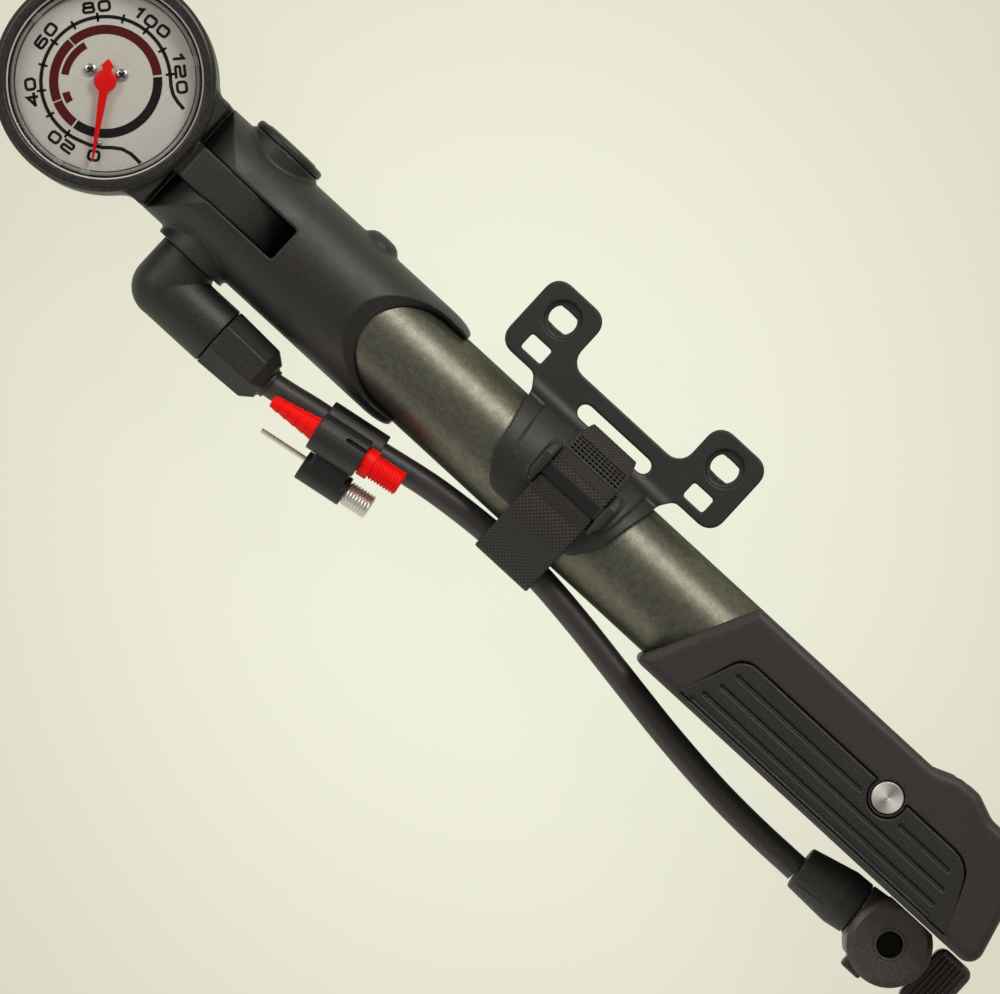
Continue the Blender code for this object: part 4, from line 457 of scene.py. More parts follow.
def add_group(tree, name, **values):
    """Use a shader group in a material."""
    node = tree.nodes.new("ShaderNodeGroup")
    node.node_tree = bpy.data.node_groups[name]
    for label, value in values.items():
        node.inputs[label].default_value = value
    return node


def new_material(name, colour, roughness, metallic=0.0, **values):
    """A Principled material with plain values, in place of the frame's plain one of that name."""
    plain = bpy.data.materials.get(name)
    if plain:
        bpy.data.materials.remove(plain)
    material = bpy.data.materials.new(name)
    material.use_nodes = True
    tree = material.node_tree
    shader = tree.nodes["Principled BSDF"]
    shader.inputs["Base Color"].default_value = (*colour, 1)
    shader.inputs["Roughness"].default_value = roughness
    shader.inputs["Metallic"].default_value = metallic
    for label, value in values.items():
        shader.inputs[label.replace("_", " ")].default_value = value
    material.diffuse_color = (*colour, 1)
    return material, tree, shader


def tint(tree, factor, low, high):
    """Mix two colours by a mask."""
    node = add_node(tree, "ShaderNodeMix", data_type="RGBA")
    tree.links.new(factor, node.inputs[0])
    node.inputs[6].default_value = (*low, 1)
    node.inputs[7].default_value = (*high, 1)
    return node.outputs[2]


def uneven_colour(tree, shader, mask, colour, dark, light):
    """Let a mask move a shader's colour between a darker and a lighter share of it."""
    low = [c * dark for c in colour]
    high = [min(1, c * light) for c in colour]
    tree.links.new(tint(tree, mask, low, high), shader.inputs["Base Color"])


def uneven_roughness(tree, shader, mask, low, high):
    """Let a mask move a shader's roughness between two values."""
    tree.links.new(vary(tree, mask, low, high), shader.inputs["Roughness"])


def bump(tree, shader, height, strength, distance):
    """Raise a height on a shader's normal."""
    node = add_node(tree, "ShaderNodeBump", {"Height": height}, Strength=strength, Distance=distance)
    tree.links.new(node.outputs["Normal"], shader.inputs["Normal"])


def grained_material(name, colour, roughness, scale, depth, spread=0.6, **values):
    """A moulded plastic or rubber with a fine texture and slightly uneven tone."""
    _, tree, shader = new_material(name, colour, roughness, **values)
    grain = add_group(tree, "moulded_grain", Scale=scale)
    uneven_colour(tree, shader, grain.outputs["Speckle"], colour, 1 - spread, 1 + spread)
    uneven_roughness(tree, shader, grain.outputs["Mottle"], roughness - 0.05, roughness + 0.05)
    bump(tree, shader, grain.outputs["Height"], 1.0, depth)


def make_turned_group():
    """A face turned on a lathe about an upright axis: fine rings, and two bright sectors across each other."""
    tree, given, result = new_group("turned_face", [("X", 0.0), ("Y", 0.0)], ["Sector", "Ring"])
    place = object_place(tree)
    parts = add_node(tree, "ShaderNodeSeparateXYZ", {"Vector": place})
    x = reckon(tree, "SUBTRACT", parts.outputs["X"], given.outputs["X"])
    y = reckon(tree, "SUBTRACT", parts.outputs["Y"], given.outputs["Y"])
    twice = reckon(tree, "MULTIPLY", reckon(tree, "ARCTAN2", y, x), 2.0)
    radius = reckon(tree, "SQRT",
                    reckon(tree, "ADD", reckon(tree, "MULTIPLY", x, x), reckon(tree, "MULTIPLY", y, y)))
    ring = reckon(tree, "SINE", reckon(tree, "MULTIPLY", radius, 12000.0))
    give(tree, result, Sector=reckon(tree, "MULTIPLY_ADD", reckon(tree, "COSINE", twice), 0.5, 0.5),
         Ring=reckon(tree, "MULTIPLY_ADD", ring, 0.5, 0.5))


def make_pin_material(middle):
    """Bright steel with a turned face, about the hinge pin's axis."""
    _, tree, shader = new_material("pin_steel", (0.62, 0.61, 0.56), 0.3, 0.45)
    face = add_group(tree, "turned_face", X=middle.x, Y=middle.y)
    # Two bright sectors in the colour: painted highlights of a turned face
    sector_highlights = tint(tree, face.outputs["Sector"], (0.30, 0.295, 0.265), (0.86, 0.85, 0.79))
    tree.links.new(sector_highlights, shader.inputs["Base Color"])
    uneven_roughness(tree, shader, face.outputs["Ring"], 0.22, 0.42)


def make_hook_group():
    """The hook side of a strap: a basket weave that follows the strap round the barrel."""
    tree, given, result = new_group("hook_weave", [("Scale", 4000.0), ("Radius", 0.02)], ["Height"])
    place = object_place(tree)
    parts = add_node(tree, "ShaderNodeSeparateXYZ", {"Vector": place})
    turn = reckon(tree, "ARCTAN2", reckon(tree, "SUBTRACT", parts.outputs["Z"], ORIGIN.z),
                  reckon(tree, "SUBTRACT", parts.outputs["Y"], ORIGIN.y))
    down = reckon(tree, "MULTIPLY", turn, given.outputs["Radius"])
    waves = [reckon(tree, "SINE", reckon(tree, "MULTIPLY", way, given.outputs["Scale"]))
             for way in (parts.outputs["X"], down)]
    give(tree, result, Height=reckon(tree, "MULTIPLY_ADD", reckon(tree, "MULTIPLY", *waves), 0.5, 0.5))


def make_webbing_material(finish):
    """Black webbing with a woven hook side."""
    _, tree, shader = new_material("strap_web", finish.webbing, 0.72)
    hooks = add_group(tree, "hook_weave", Scale=4300.0, Radius=0.0205)
    # Darker in the weave's hollows and lighter on its tops: painted shade and painted highlight
    uneven_colour(tree, shader, hooks.outputs["Height"], finish.webbing, 0.10, 3.3)
    bump(tree, shader, hooks.outputs["Height"], 1.0, 0.00030)


def make_barrel_material(finish):
    """Grey-green metallic paint with flakes that catch the light one by one."""
    _, tree, shader = new_material("barrel_paint", finish.barrel, 0.41, 0.78, Specular_Tint=(0.2, 0.2, 0.18, 1))
    flake = add_group(tree, "metal_flake", Scale=6500.0)
    uneven_colour(tree, shader, flake.outputs["Flake"], finish.barrel, 0.60, 1.9)
    bump(tree, shader, flake.outputs["Height"], 0.3, 0.00002)


def make_metal(name, colour, roughness, across, metallic=1.0):
    """A satin metal with fine lines in its roughness and tone."""
    _, tree, shader = new_material(name, colour, roughness, metallic)
    lines = add_group(tree, "brushed_lines", Across=across, Along=across / 30).outputs["Line"]
    uneven_colour(tree, shader, lines, colour, 0.86, 1.12)
    uneven_roughness(tree, shader, lines, roughness - 0.06, roughness + 0.08)


# Finishes of the gauge lens and of the steps in its edge: colour, roughness, how solid it is, shine
# The edge's pale, bright and dark finishes are painted reflection, painted highlight and painted shade lines
LENS_FINISHES = (("lens_clear", (0.02, 0.02, 0.02), 0.04, 0.10, 0.25),
                 ("lens_edge", (0.72, 0.72, 0.68), 0.10, 0.40, 0.5),
                 ("lens_bright", (0.90, 0.89, 0.84), 0.12, 0.90, 0.5),
                 ("lens_dark", (0.010, 0.010, 0.009), 0.20, 0.85, 0.3))


def make_lens_material():
    """The clear gauge lens, mostly see-through with a glossy skin, and its thicker paler edge."""
    for name, colour, roughness, alpha, shine in LENS_FINISHES:
        material, _, _ = new_material(name, colour, roughness, Alpha=alpha, Specular_IOR_Level=shine)
        material.surface_render_method = "BLENDED"


# Half sizes of the floor's bright middle, as shares of the picture's width
GLOW_ACROSS, GLOW_ALONG = 0.62, 0.75


def make_floor_material(stage):
    """A pale floor that glows where it is seen, with a slow fall-off; part of it is lit and holds the shadow."""
    tree, _, result = new_group("floor_fall", [], ["Fall"])
    place = object_place(tree)
    middle = spot(stage.look_x, stage.look_y, 0)
    shift = add_node(tree, "ShaderNodeVectorMath", operation="SUBTRACT")
    tree.links.new(place, shift.inputs[0])
    shift.inputs[1].default_value = (middle.x, middle.y, 0)
    turned = add_node(tree, "ShaderNodeVectorRotate", {"Vector": shift.outputs["Vector"]}, Angle=-stage.turn)
    parts = add_node(tree, "ShaderNodeSeparateXYZ", {"Vector": turned.outputs["Vector"]})
    across = reckon(tree, "MULTIPLY", parts.outputs["X"], 1 / (GLOW_ACROSS * stage.view_width))
    along = reckon(tree, "MULTIPLY", parts.outputs["Y"], 1 / (GLOW_ALONG * stage.view_width))
    far = reckon(tree, "ADD", reckon(tree, "MULTIPLY", across, across), reckon(tree, "MULTIPLY", along, along))
    give(tree, result, Fall=reckon(tree, "TANH", far))

    material, tree, shader = new_material("floor", stage.floor, 0.9, Specular_IOR_Level=0.1)
    fall = add_group(tree, "floor_fall")
    bright = tint(tree, fall.outputs["Fall"], stage.backdrop, stage.backdrop_edge)
    glow = add_node(tree, "ShaderNodeEmission", {"Color": bright})
    ray = add_node(tree, "ShaderNodeLightPath")
    seen = ray.outputs["Is Camera Ray"]
    for kind in ("Is Glossy Ray", "Is Transmission Ray"):
        seen = reckon(tree, "MAXIMUM", seen, ray.outputs[kind])
    mix = add_node(tree, "ShaderNodeMixShader", {"Fac": reckon(tree, "MULTIPLY", seen, 1 - stage.shadow)})
    tree.links.new(shader.outputs["BSDF"], mix.inputs[1])
    tree.links.new(glow.outputs["Emission"], mix.inputs[2])
    tree.links.new(mix.outputs["Shader"], tree.nodes["Material Output"].inputs["Surface"])
    return material


def make_materials(finish):
    """Every material of the pump, from the finish settings."""
    make_grain_group()
    make_flake_group()
    make_brushed_group()
    make_hook_group()
    make_turned_group()
    make_pin_material(sum((Vector(corner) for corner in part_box("handle_pin")), Vector()) / 2)
    grained_material("black_plastic", finish.plastic, 0.50, 2600.0, 0.00007)
    grained_material("handle_plastic", [1.6 * c for c in finish.plastic], 0.54, 2600.0, 0.00007)
    # Black plastic 3.4 times lighter: painted light on the chuck's body, cap and lever, which the handle shades
    grained_material("chuck_plastic", [3.4 * c for c in finish.plastic], 0.40, 2600.0, 0.00005)
    grained_material("smooth_plastic", finish.plastic, 0.36, 900.0, 0.00002)
    grained_material("grip_rubber", finish.rubber, 0.50, 1500.0, 0.00005)
    grained_material("hose_rubber", finish.hose, 0.46, 2600.0, 0.00003, 0.4)
    grained_material("seal_rubber", finish.hose, 0.6, 900.0, 0.00003)
    make_webbing_material(finish)
    grained_material("strap_thread", [1.5 * c for c in finish.webbing], 0.62, 2600.0, 0.00003)
    # Near black webbing: painted shade in the gaps of the open weave
    new_material("strap_dark", [0.2 * c for c in finish.webbing], 0.9, Specular_IOR_Level=0.1)
    grained_material("red_plastic", finish.red, 0.42, 700.0, 0.00002, 0.06, Specular_IOR_Level=0.15)
    new_material("pointer_red", finish.red, 0.32, Specular_IOR_Level=0.15)
    # Black plastic at 0.6 of its colour: painted shade on the top of the bracket's bar, which lies in the ears'
    # shadow
    new_material("shaded_plastic", [0.6 * c for c in finish.plastic], 0.5, Specular_IOR_Level=0.3)
    new_material("dial_black", (0.008, 0.0075, 0.007), 0.55, Specular_IOR_Level=0.15)
    new_material("dial_red", finish.dial_red, 0.55, Specular_IOR_Level=0.15)
    make_barrel_material(finish)
    make_metal("steel", (0.62, 0.61, 0.58), 0.26, 1500.0)
    make_metal("nickel", (0.78, 0.75, 0.68), 0.34, 700.0, 0.7)
    make_metal("brass", (0.62, 0.48, 0.22), 0.3, 900.0)
    make_metal("dial_silver", finish.dial, 0.5, 2600.0, 0.35)
    make_lens_material()


# Geometry Nodes for what repeats

def new_geometry(name, inputs):
    """An empty Geometry Nodes tree with named inputs, given as (name, socket kind)."""
    tree = bpy.data.node_groups.new(name, "GeometryNodeTree")
    for label, kind in inputs:
        tree.interface.new_socket(label, in_out="INPUT", socket_type="NodeSocket" + kind)
    tree.interface.new_socket("Geometry", in_out="OUTPUT", socket_type="NodeSocketGeometry")
    return tree, tree.nodes.new("NodeGroupInput"), tree.nodes.new("NodeGroupOutput")


def close_tree(tree, given, result, points, shape, rotation=None):
    """End a tree: instances of a shape on points, made real and given the material."""
    links = {"Points": points, "Instance": shape}
    if rotation:
        links["Rotation"] = rotation
    placed = add_node(tree, "GeometryNodeInstanceOnPoints", links)
    real = add_node(tree, "GeometryNodeRealizeInstances", {"Geometry": placed.outputs["Instances"]})
    painted = add_node(tree, "GeometryNodeSetMaterial",
                       {"Geometry": real.outputs["Geometry"], "Material": given.outputs["Material"]})
    give(tree, result, Geometry=painted.outputs["Geometry"])


def make_tick_tree():
    """Marks round part of a circle, such as the scale of a dial."""
    tree, given, result = new_geometry("tick_ring", [
        ("Count", "Int"), ("Radius", "Float"), ("Start", "Float"), ("Sweep", "Float"), ("Length", "Float"),
        ("Width", "Float"), ("Thickness", "Float"), ("Material", "Material")])
    value = given.outputs
    line = add_node(tree, "GeometryNodeMeshLine", {"Count": value["Count"]})
    index = add_node(tree, "GeometryNodeInputIndex").outputs["Index"]
    share = reckon(tree, "DIVIDE", index, reckon(tree, "SUBTRACT", value["Count"], 1))
    angle = reckon(tree, "ADD", value["Start"], reckon(tree, "MULTIPLY", share, value["Sweep"]))
    x = reckon(tree, "MULTIPLY", value["Radius"], reckon(tree, "COSINE", angle))
    y = reckon(tree, "MULTIPLY", value["Radius"], reckon(tree, "SINE", angle))
    where = add_node(tree, "ShaderNodeCombineXYZ", {"X": x, "Y": y})
    points = add_node(tree, "GeometryNodeSetPosition",
                      {"Geometry": line.outputs["Mesh"], "Position": where.outputs["Vector"]})
    size = add_node(tree, "ShaderNodeCombineXYZ",
                    {"X": value["Length"], "Y": value["Width"], "Z": value["Thickness"]})
    mark = add_node(tree, "GeometryNodeMeshCube", {"Size": size.outputs["Vector"]})
    turn = add_node(tree, "ShaderNodeCombineXYZ", {"Z": angle})
    close_tree(tree, given, result, points.outputs["Geometry"], mark.outputs["Mesh"], turn.outputs["Vector"])


def close_sweep(tree, given, result, path, radius, sides, caps=False):
    """End a tree: a round bar along a curve, repeated a pitch apart along Z."""
    step = add_node(tree, "ShaderNodeCombineXYZ", {"Z": given.outputs["Pitch"]})
    line = add_node(tree, "GeometryNodeMeshLine",
                    {"Count": given.outputs["Count"], "Offset": step.outputs["Vector"]})
    ring = add_node(tree, "GeometryNodeCurvePrimitiveCircle", {"Radius": radius}, Resolution=sides)
    bar = add_node(tree, "GeometryNodeCurveToMesh",
                   {"Curve": path.outputs["Curve"], "Profile Curve": ring.outputs["Curve"]})
    bar.inputs["Fill Caps"].default_value = caps
    close_tree(tree, given, result, line.outputs["Mesh"], bar.outputs["Mesh"])


def make_ring_tree():
    """Ridges stacked along an axis, such as a screw thread seen from the side."""
    tree, given, result = new_geometry("ring_stack", [
        ("Count", "Int"), ("Pitch", "Float"), ("Radius", "Float"), ("Depth", "Float"), ("Material", "Material")])
    value = given.outputs
    path = add_node(tree, "GeometryNodeCurvePrimitiveCircle", {"Radius": value["Radius"]}, Resolution=64)
    close_sweep(tree, given, result, path, value["Depth"], 8)


def make_thread_tree():
    """Threads that run round part of a circle, side by side, such as the ribs of a webbing."""
    tree, given, result = new_geometry("thread_arcs", [
        ("Count", "Int"), ("Pitch", "Float"), ("Radius", "Float"), ("Start", "Float"), ("Sweep", "Float"),
        ("Thread", "Float"), ("Material", "Material")])
    value = given.outputs
    path = add_node(tree, "GeometryNodeCurveArc", {"Radius": value["Radius"], "Start Angle": value["Start"],
                                                   "Sweep Angle": value["Sweep"]}, Resolution=14)
    close_sweep(tree, given, result, path, value["Thread"], 6, True)


def grow(tree_name, name, material, turn=ALONG_Z, at=(0, 0, 0), **values):
    """Run a Geometry Nodes tree and keep its result as a plain mesh at a point of the pump's frame."""
    tree = bpy.data.node_groups[tree_name]
    piece = add_object(name, bpy.data.meshes.new(name))
    modifier = piece.modifiers.new(tree_name, "NODES")
    modifier.node_group = tree
    sockets = {item.name: item.identifier for item in tree.interface.items_tree if item.in_out == "INPUT"}
    for label, value in values.items():
        modifier[sockets[label]] = value
    modifier[sockets["Material"]] = bpy.data.materials[material]
    bake(piece)
    piece.data.transform(TO_ROW @ Matrix.Translation(at) @ turn)
    return piece


# Settings

def length(name, description, default):
    """A length property in metres."""
    return bpy.props.FloatProperty(name=name, description=description, default=default, unit="LENGTH",
                                   precision=5)


def colour(name, description, default):
    """A linear colour property."""
    return bpy.props.FloatVectorProperty(name=name, description=description, default=default, subtype="COLOR",
                                         size=3, min=0, max=1)


def factor(name, description, default):
    """A property that is a share of 1."""
    return bpy.props.FloatProperty(name=name, description=description, default=default, subtype="FACTOR")


class PumpFinishSettings(bpy.types.PropertyGroup):
    """Colours of the pump's materials."""
    plastic: colour("Plastic", "Black of the mouldings", (0.0135, 0.0115, 0.0102))
    rubber: colour("Grip", "Black of the grip panels", (0.0140, 0.0120, 0.0108))
    hose: colour("Hose", "Black of the hose and seals", (0.0320, 0.0278, 0.0254))
    webbing: colour("Webbing", "Black of the strap", (0.0150, 0.0130, 0.0118))
    barrel: colour("Barrel", "Metallic grey-green of the barrel", (0.138, 0.138, 0.108))
    red: colour("Red", "Red of the bladder adapter and pointer", (0.94, 0.0045, 0.0040))
    dial: colour("Dial", "Silver of the dial", (0.825, 0.81, 0.748))
    dial_red: colour("Dial bands", "Dark red of the bands on the dial", (0.105, 0.0055, 0.0050))


class PumpStageSettings(bpy.types.PropertyGroup):
    """Camera, light and floor of the picture."""
    look_x: length("Look at X", "Point in the middle of the picture, along the barrel", 0.0366)
    look_y: length("Look at Y", "Point in the middle of the picture, across the barrel", -0.0113)
    distance: length("Distance", "Camera above the barrel axis", 2.0)
    view_width: length("View width", "Width of the picture at the barrel axis", 0.2915)
    turn: bpy.props.FloatProperty(name="Turn", description="Turn of the picture about the line of sight",
                                  default=math.radians(42.61), subtype="ANGLE")
    floor: colour("Floor", "Pale floor under the pump", (0.60, 0.60, 0.52))
    backdrop: colour("Backdrop", "Floor as the camera sees it, in the middle", (0.934, 0.942, 0.777))
    backdrop_edge: colour("Backdrop edge", "Floor as the camera sees it, far away", (0.683, 0.679, 0.537))
    shadow: factor("Shadow", "Share of the floor that is lit and so holds the shadow", 0.10)
    key: bpy.props.FloatProperty(name="Key", description="Power of the large soft light", default=7.5,
                                 unit="POWER")
    fill: bpy.props.FloatProperty(name="Fill", description="Strength of the even light all round", default=0.34)


class PumpHoseSettings(bpy.types.PropertyGroup):
    """Sizes of the hose."""
    radius: length("Radius", "Outer radius of the hose", 0.0040)
    step: length("Step", "Distance between the rings of the hose's mesh", 0.0015)


class PumpHeadSettings(bpy.types.PropertyGroup):
    """Sizes of the pump head, its pivot and the fitting under it."""
    radius: length("Radius", "Round body of the head", 0.0195)
    front: length("Front", "Front edge of the collar, along the barrel", -0.0015)
    tip_radius: length("Tip radius", "Collar at its front edge", 0.0173)
    taper: length("Taper", "Length over which the collar thins", 0.0085)
    seat: length("Seat", "Floor of the bore that the barrel stands in", -0.0423)
    pivot_x: length("Pivot", "Axis that the gauge flips about", PIVOT_X)
    fork_radius: length("Fork radius", "Round rear end of the fork", 0.0197)
    slot_width: length("Slot width", "Slot between the fork's arms", 0.0112)
    slot_end: length("Slot end", "Wall at the front of the slot", -0.0585)
    scoop_straight: length("Scoop straight", "Straight part of the collar's scoop", 0.0070)
    scoop_length: length("Scoop length", "Round part of the collar's scoop", 0.0170)
    scoop_width: length("Scoop width", "Half width of the scoop", 0.01575)
    bevel: length("Bevel", "Width of the slope round the scoop", 0.0050)
    bevel_depth: length("Bevel depth", "Depth of the slope round the scoop", 0.0023)
    boss_radius: length("Boss radius", "Bosses on both sides of the pivot", 0.0120)
    cap_side: length("Cap side", "End of the boss under the cap", 0.02055)
    hose_side: length("Hose side", "End of the boss over the elbow", 0.02145)
    screw_x: length("Screw", "Place of the screw along the barrel", -0.0385)
    screw_height: length("Screw height", "Top of the screw's boss", 0.0219)


class PumpGaugeSettings(bpy.types.PropertyGroup):
    """Sizes of the gauge case and of what is printed on its dial."""
    x: length("Place", "Middle of the gauge along the barrel", -0.1292)
    radius: length("Radius", "Outer radius of the case", 0.0324)
    bottom: length("Bottom", "Underside of the case", -0.0140)
    rim: length("Rim", "Top of the case under the bezel", 0.0152)
    edge: length("Edge", "Rounding of the case's lower edge", 0.0050)
    neck_width: length("Neck width", "Half width of the neck", 0.0195)
    neck_end: length("Neck end", "End of the neck along the barrel", -0.0973)
    neck_lip: length("Neck lip", "Lip of the neck under the fork's round end", 0.0026)
    neck_fillet: length("Neck fillet", "Rounding where the neck leaves the case", 0.0060)
    tongue_width: length("Tongue width", "Tongue in the fork", 0.01114)
    tongue_radius: length("Tongue radius", "Round end of the tongue", 0.0179)
    case_radius: length("Case bore", "Hollow below the dial", 0.0265)
    dial_radius: length("Dial radius", "Radius of the dial", 0.0286)
    dial_top: length("Dial top", "Printed face of the dial", 0.0096)
    lens_radius: length("Lens radius", "Radius of the clear lens", 0.0299)
    lens_thickness: length("Lens thickness", "Thickness of the clear lens", 0.0020)
    bezel_width: length("Bezel width", "Width of the ring over the lens", 0.0036)
    bezel_top: length("Bezel top", "Top of the ring over the lens", 0.0170)
    number_radius: length("Number radius", "Circle that the numbers stand on", 0.0218)
    number_height: length("Number height", "Height of a figure", 0.0035)
    number_width: length("Number width", "Width of a figure", 0.0039)
    number_gap: length("Number gap", "Gap between two figures", 0.0007)
    stroke: length("Stroke", "Width of a figure's lines", 0.00086)
    scale_radius: length("Scale radius", "Black scale line", 0.0188)
    scale_width: length("Scale width", "Width of the scale line", 0.00105)
    tick_length: length("Tick length", "Length of a mark across the scale line", 0.0027)
    tick_width: length("Tick width", "Width of a mark across the scale line", 0.00072)
    band_radius: length("Band radius", "Middle of the coloured bands", 0.0151)
    band_width: length("Band width", "Width of the coloured bands", 0.0027)
    inner_radius: length("Inner band radius", "Middle of the short inner bands", 0.0120)
    inner_width: length("Inner band width", "Width of the short inner bands", 0.0022)
    pointer_hub: length("Pointer hub", "Radius of the pointer's hub", 0.0033)
    pointer_tip: length("Pointer tip", "Reach of the pointer from its axis", 0.0238)
    pointer_tail: length("Pointer tail", "Reach of the pointer's tail", 0.0064)
    ink: length("Ink", "Height of the printing over the dial", 0.00006)


class PumpHandleSettings(bpy.types.PropertyGroup):
    """Sizes of the folding handle."""
    edge: length("Edge", "Rounding of the handle's long edges", 0.0032)
    open_side: length("Open side", "Edge on the side of the channel", 0.0163)
    front_grip: length("Front at grip", "Front rim on the grip side", 0.0965)
    front_open: length("Front at channel", "Front rim on the open side", 0.1138)
    end_open: length("End at channel", "Rear end on the open side", 0.2210)
    bump_x: length("Bump", "Middle of the bump on the open side", 0.1935)
    bump_length: length("Bump length", "Flat top of the bump", 0.0070)
    bump_ramp: length("Bump ramp", "Slope on each side of the bump", 0.0075)
    pin_x: length("Pin X", "Hinge pin, along the barrel", 0.1777)
    pin_y: length("Pin Y", "Hinge pin, across the barrel", 0.0005)
    panel_gap: length("Panel gap", "Half of the groove round the soft panel", 0.00030)
    groove_width: length("Groove width", "Width of a groove in the panel", 0.0012)
    groove_depth: length("Groove depth", "Depth of a groove in the panel", 0.0009)
    rim_width: length("Rim width", "Width of the slanted face along the front rim", 0.0026)
    rim_drop: length("Rim drop", "Fall of the slanted face along the front rim", 0.0012)
    rim_corner: length("Rim corner", "Rounding of the front rim at the grip side", 0.0019)
    pin_head: length("Pin head", "Radius of the hinge pin's head", 0.0047)


class PumpStrapSettings(bpy.types.PropertyGroup):
    """Sizes of the webbing strap and of the saddle it lies on."""
    middle: length("Middle", "Middle of the strap along the barrel", 0.0507)
    saddle: length("Saddle", "Outer radius of the saddle", 0.01965)
    outer: length("Outer", "Outer radius of the strap on the saddle", 0.02145)
    flange_step: length("Flange step", "Drop from the saddle's middle to its rim", 0.0006)
    mesh_pitch: length("Mesh pitch", "Distance between the threads of the open weave", 0.0014)
    mesh_thread: length("Mesh thread", "Half thickness of a thread of the open weave", 0.00030)
    bar: length("Bar", "Height of the bar over the strap", 0.0222)
    rib_pitch: length("Rib pitch", "Distance between the ribs beside the bar", 0.00052)
    rib_thread: length("Rib thread", "Half thickness of a rib", 0.00020)
    drawn_in: factor("Drawn in", "Part of its width that the strap loses at its slot", 0.17)


class PumpChuckSettings(bpy.types.PropertyGroup):
    """Sizes of the lever chuck on the hose."""
    x: length("Place", "Middle of the chuck along the barrel", 0.2080)
    y: length("Across", "Middle of the chuck across the barrel", -0.0304)
    radius: length("Radius", "Outer radius of the cap", 0.0126)
    flat: length("Flat", "Distance of the flat on the handle's side", 0.0105)
    mouth: length("Mouth", "Radius of the valve hole", 0.0039)
    bevel: length("Bevel", "Width of the cap's sloping edge", 0.0018)
    sleeve_start: length("Sleeve start", "Rear end of the sleeve along the barrel", 0.1743)
    sleeve_start_y: length("Sleeve start Y", "Rear end of the sleeve across the barrel", -0.0315)
    sleeve_end: length("Sleeve end", "Front end of the sleeve along the barrel", 0.1947)
    sleeve_end_y: length("Sleeve end Y", "Front end of the sleeve across the barrel", -0.0292)
    sleeve_neck: length("Sleeve neck", "Radius of the sleeve at the hose", 0.0067)
    sleeve_flare: length("Sleeve flare", "Radius of the sleeve at the chuck", 0.0088)
    pad_near: length("Pad near", "Near edge of the lever's pad along the barrel", 0.2210)
    pad_far: length("Pad far", "Far edge of the lever's pad along the barrel", 0.2338)
    pad_corner: length("Pad corner", "Rounding of the pad's corners", 0.0030)
    ridge_pitch: length("Ridge pitch", "Distance between the pad's ridges", 0.00155)


# Pieces

# Soft lamps: place to the picture's right, upwards in it and over the barrel, size, share of the key's power
LAMPS = (("key", 0.56, 0.70, 0.78, 0.42, 1.08), ("side", -0.7, 0.6, 0.8, 0.4, 0.45),
         ("low", -0.62, -0.66, 0.06, 0.90, 0.34))
LAMP_COLOUR = (1.0, 0.975, 0.91)
FILL_COLOUR = (1.0, 0.955, 0.885, 1)
# Distance of the floor under the pump
FLOOR_GAP = 0.0002


def build_stage(stage):
    """Camera straight above, three soft lights, even light all round and a pale floor."""
    scene = bpy.context.scene
    scene.view_settings.view_transform = "Standard"
    scene.view_settings.look = "None"
    data = bpy.data.cameras.new("camera")
    data.lens = data.sensor_width * stage.distance / stage.view_width
    data.clip_end = 10 * stage.distance
    camera = bpy.data.objects.new("camera", data)
    camera.location = spot(stage.look_x, stage.look_y, stage.distance)
    camera.rotation_euler = (0, 0, stage.turn)
    scene.collection.objects.link(camera)
    scene.camera = camera

    world = bpy.data.worlds.new("even_light")
    world.use_nodes = True
    background = world.node_tree.nodes["Background"]
    background.inputs["Color"].default_value = FILL_COLOUR
    background.inputs["Strength"].default_value = stage.fill
    scene.world = world

    middle = spot(stage.look_x, stage.look_y, 0)
    right = Vector((math.cos(stage.turn), math.sin(stage.turn), 0))
    up = Vector((-right.y, right.x, 0))
    for name, across, along, height, width, share in LAMPS:
        light = bpy.data.lights.new(name, "AREA")
        light.shape = "RECTANGLE"
        light.size = width
        light.size_y = width
        light.energy = stage.key * share
        light.color = LAMP_COLOUR
        lamp = bpy.data.objects.new(name, light)
        lamp.location = middle + (across * right + along * up) + Vector((0, 0, height))
        lamp.rotation_euler = (middle - lamp.location).to_track_quat("-Z", "Y").to_euler()
        scene.collection.objects.link(lamp)

    bm = bmesh.new()
    bmesh.ops.create_grid(bm, x_segments=1, y_segments=1, size=4 * stage.distance)
    floor = from_bmesh("floor", bm, at=(0, 0, CAD_BOX[0].z - ORIGIN.z - FLOOR_GAP))
    floor.data.materials.append(make_floor_material(stage))


# The route of the hose's middle line, as in the part: from the nut past the strap to the chuck
HOSE_ROUTE = (
    (-0.0357, -0.0325, 0.0), (-0.0280, -0.0312, 0.0), (-0.0200, -0.0296, 0.0), (0.0000, -0.0264, 0.0),
    (0.0200, -0.0228, 0.0), (0.0380, -0.0211, 0.0), (0.0510, -0.0208, 0.0), (0.0620, -0.0210, 0.0),
    (0.0800, -0.0232, -0.0002), (0.1000, -0.0264, -0.0010), (0.1200, -0.0295, -0.0023),
    (0.1400, -0.0317, -0.0036), (0.1570, -0.0325, -0.0046), (0.1740, -0.0325, -0.0050))


def smooth_route(points, step):
    """Points a step apart on the smooth curve through the route's own points."""
    points = [Vector(p) for p in points]
    ends = [2 * points[0] - points[1]] + points + [2 * points[-1] - points[-2]]
    route = []
    for before, a, b, after in zip(ends, ends[1:], ends[2:], ends[3:]):
        count = max(1, round((b - a).length / step))
        for i in range(count):
            t = i / count
            route.append(0.5 * (2 * a + (b - before) * t + (2 * before - 5 * a + 4 * b - after) * t ** 2
                                + (3 * a - before - 3 * b + after) * t ** 3))
    return route + [points[-1]]


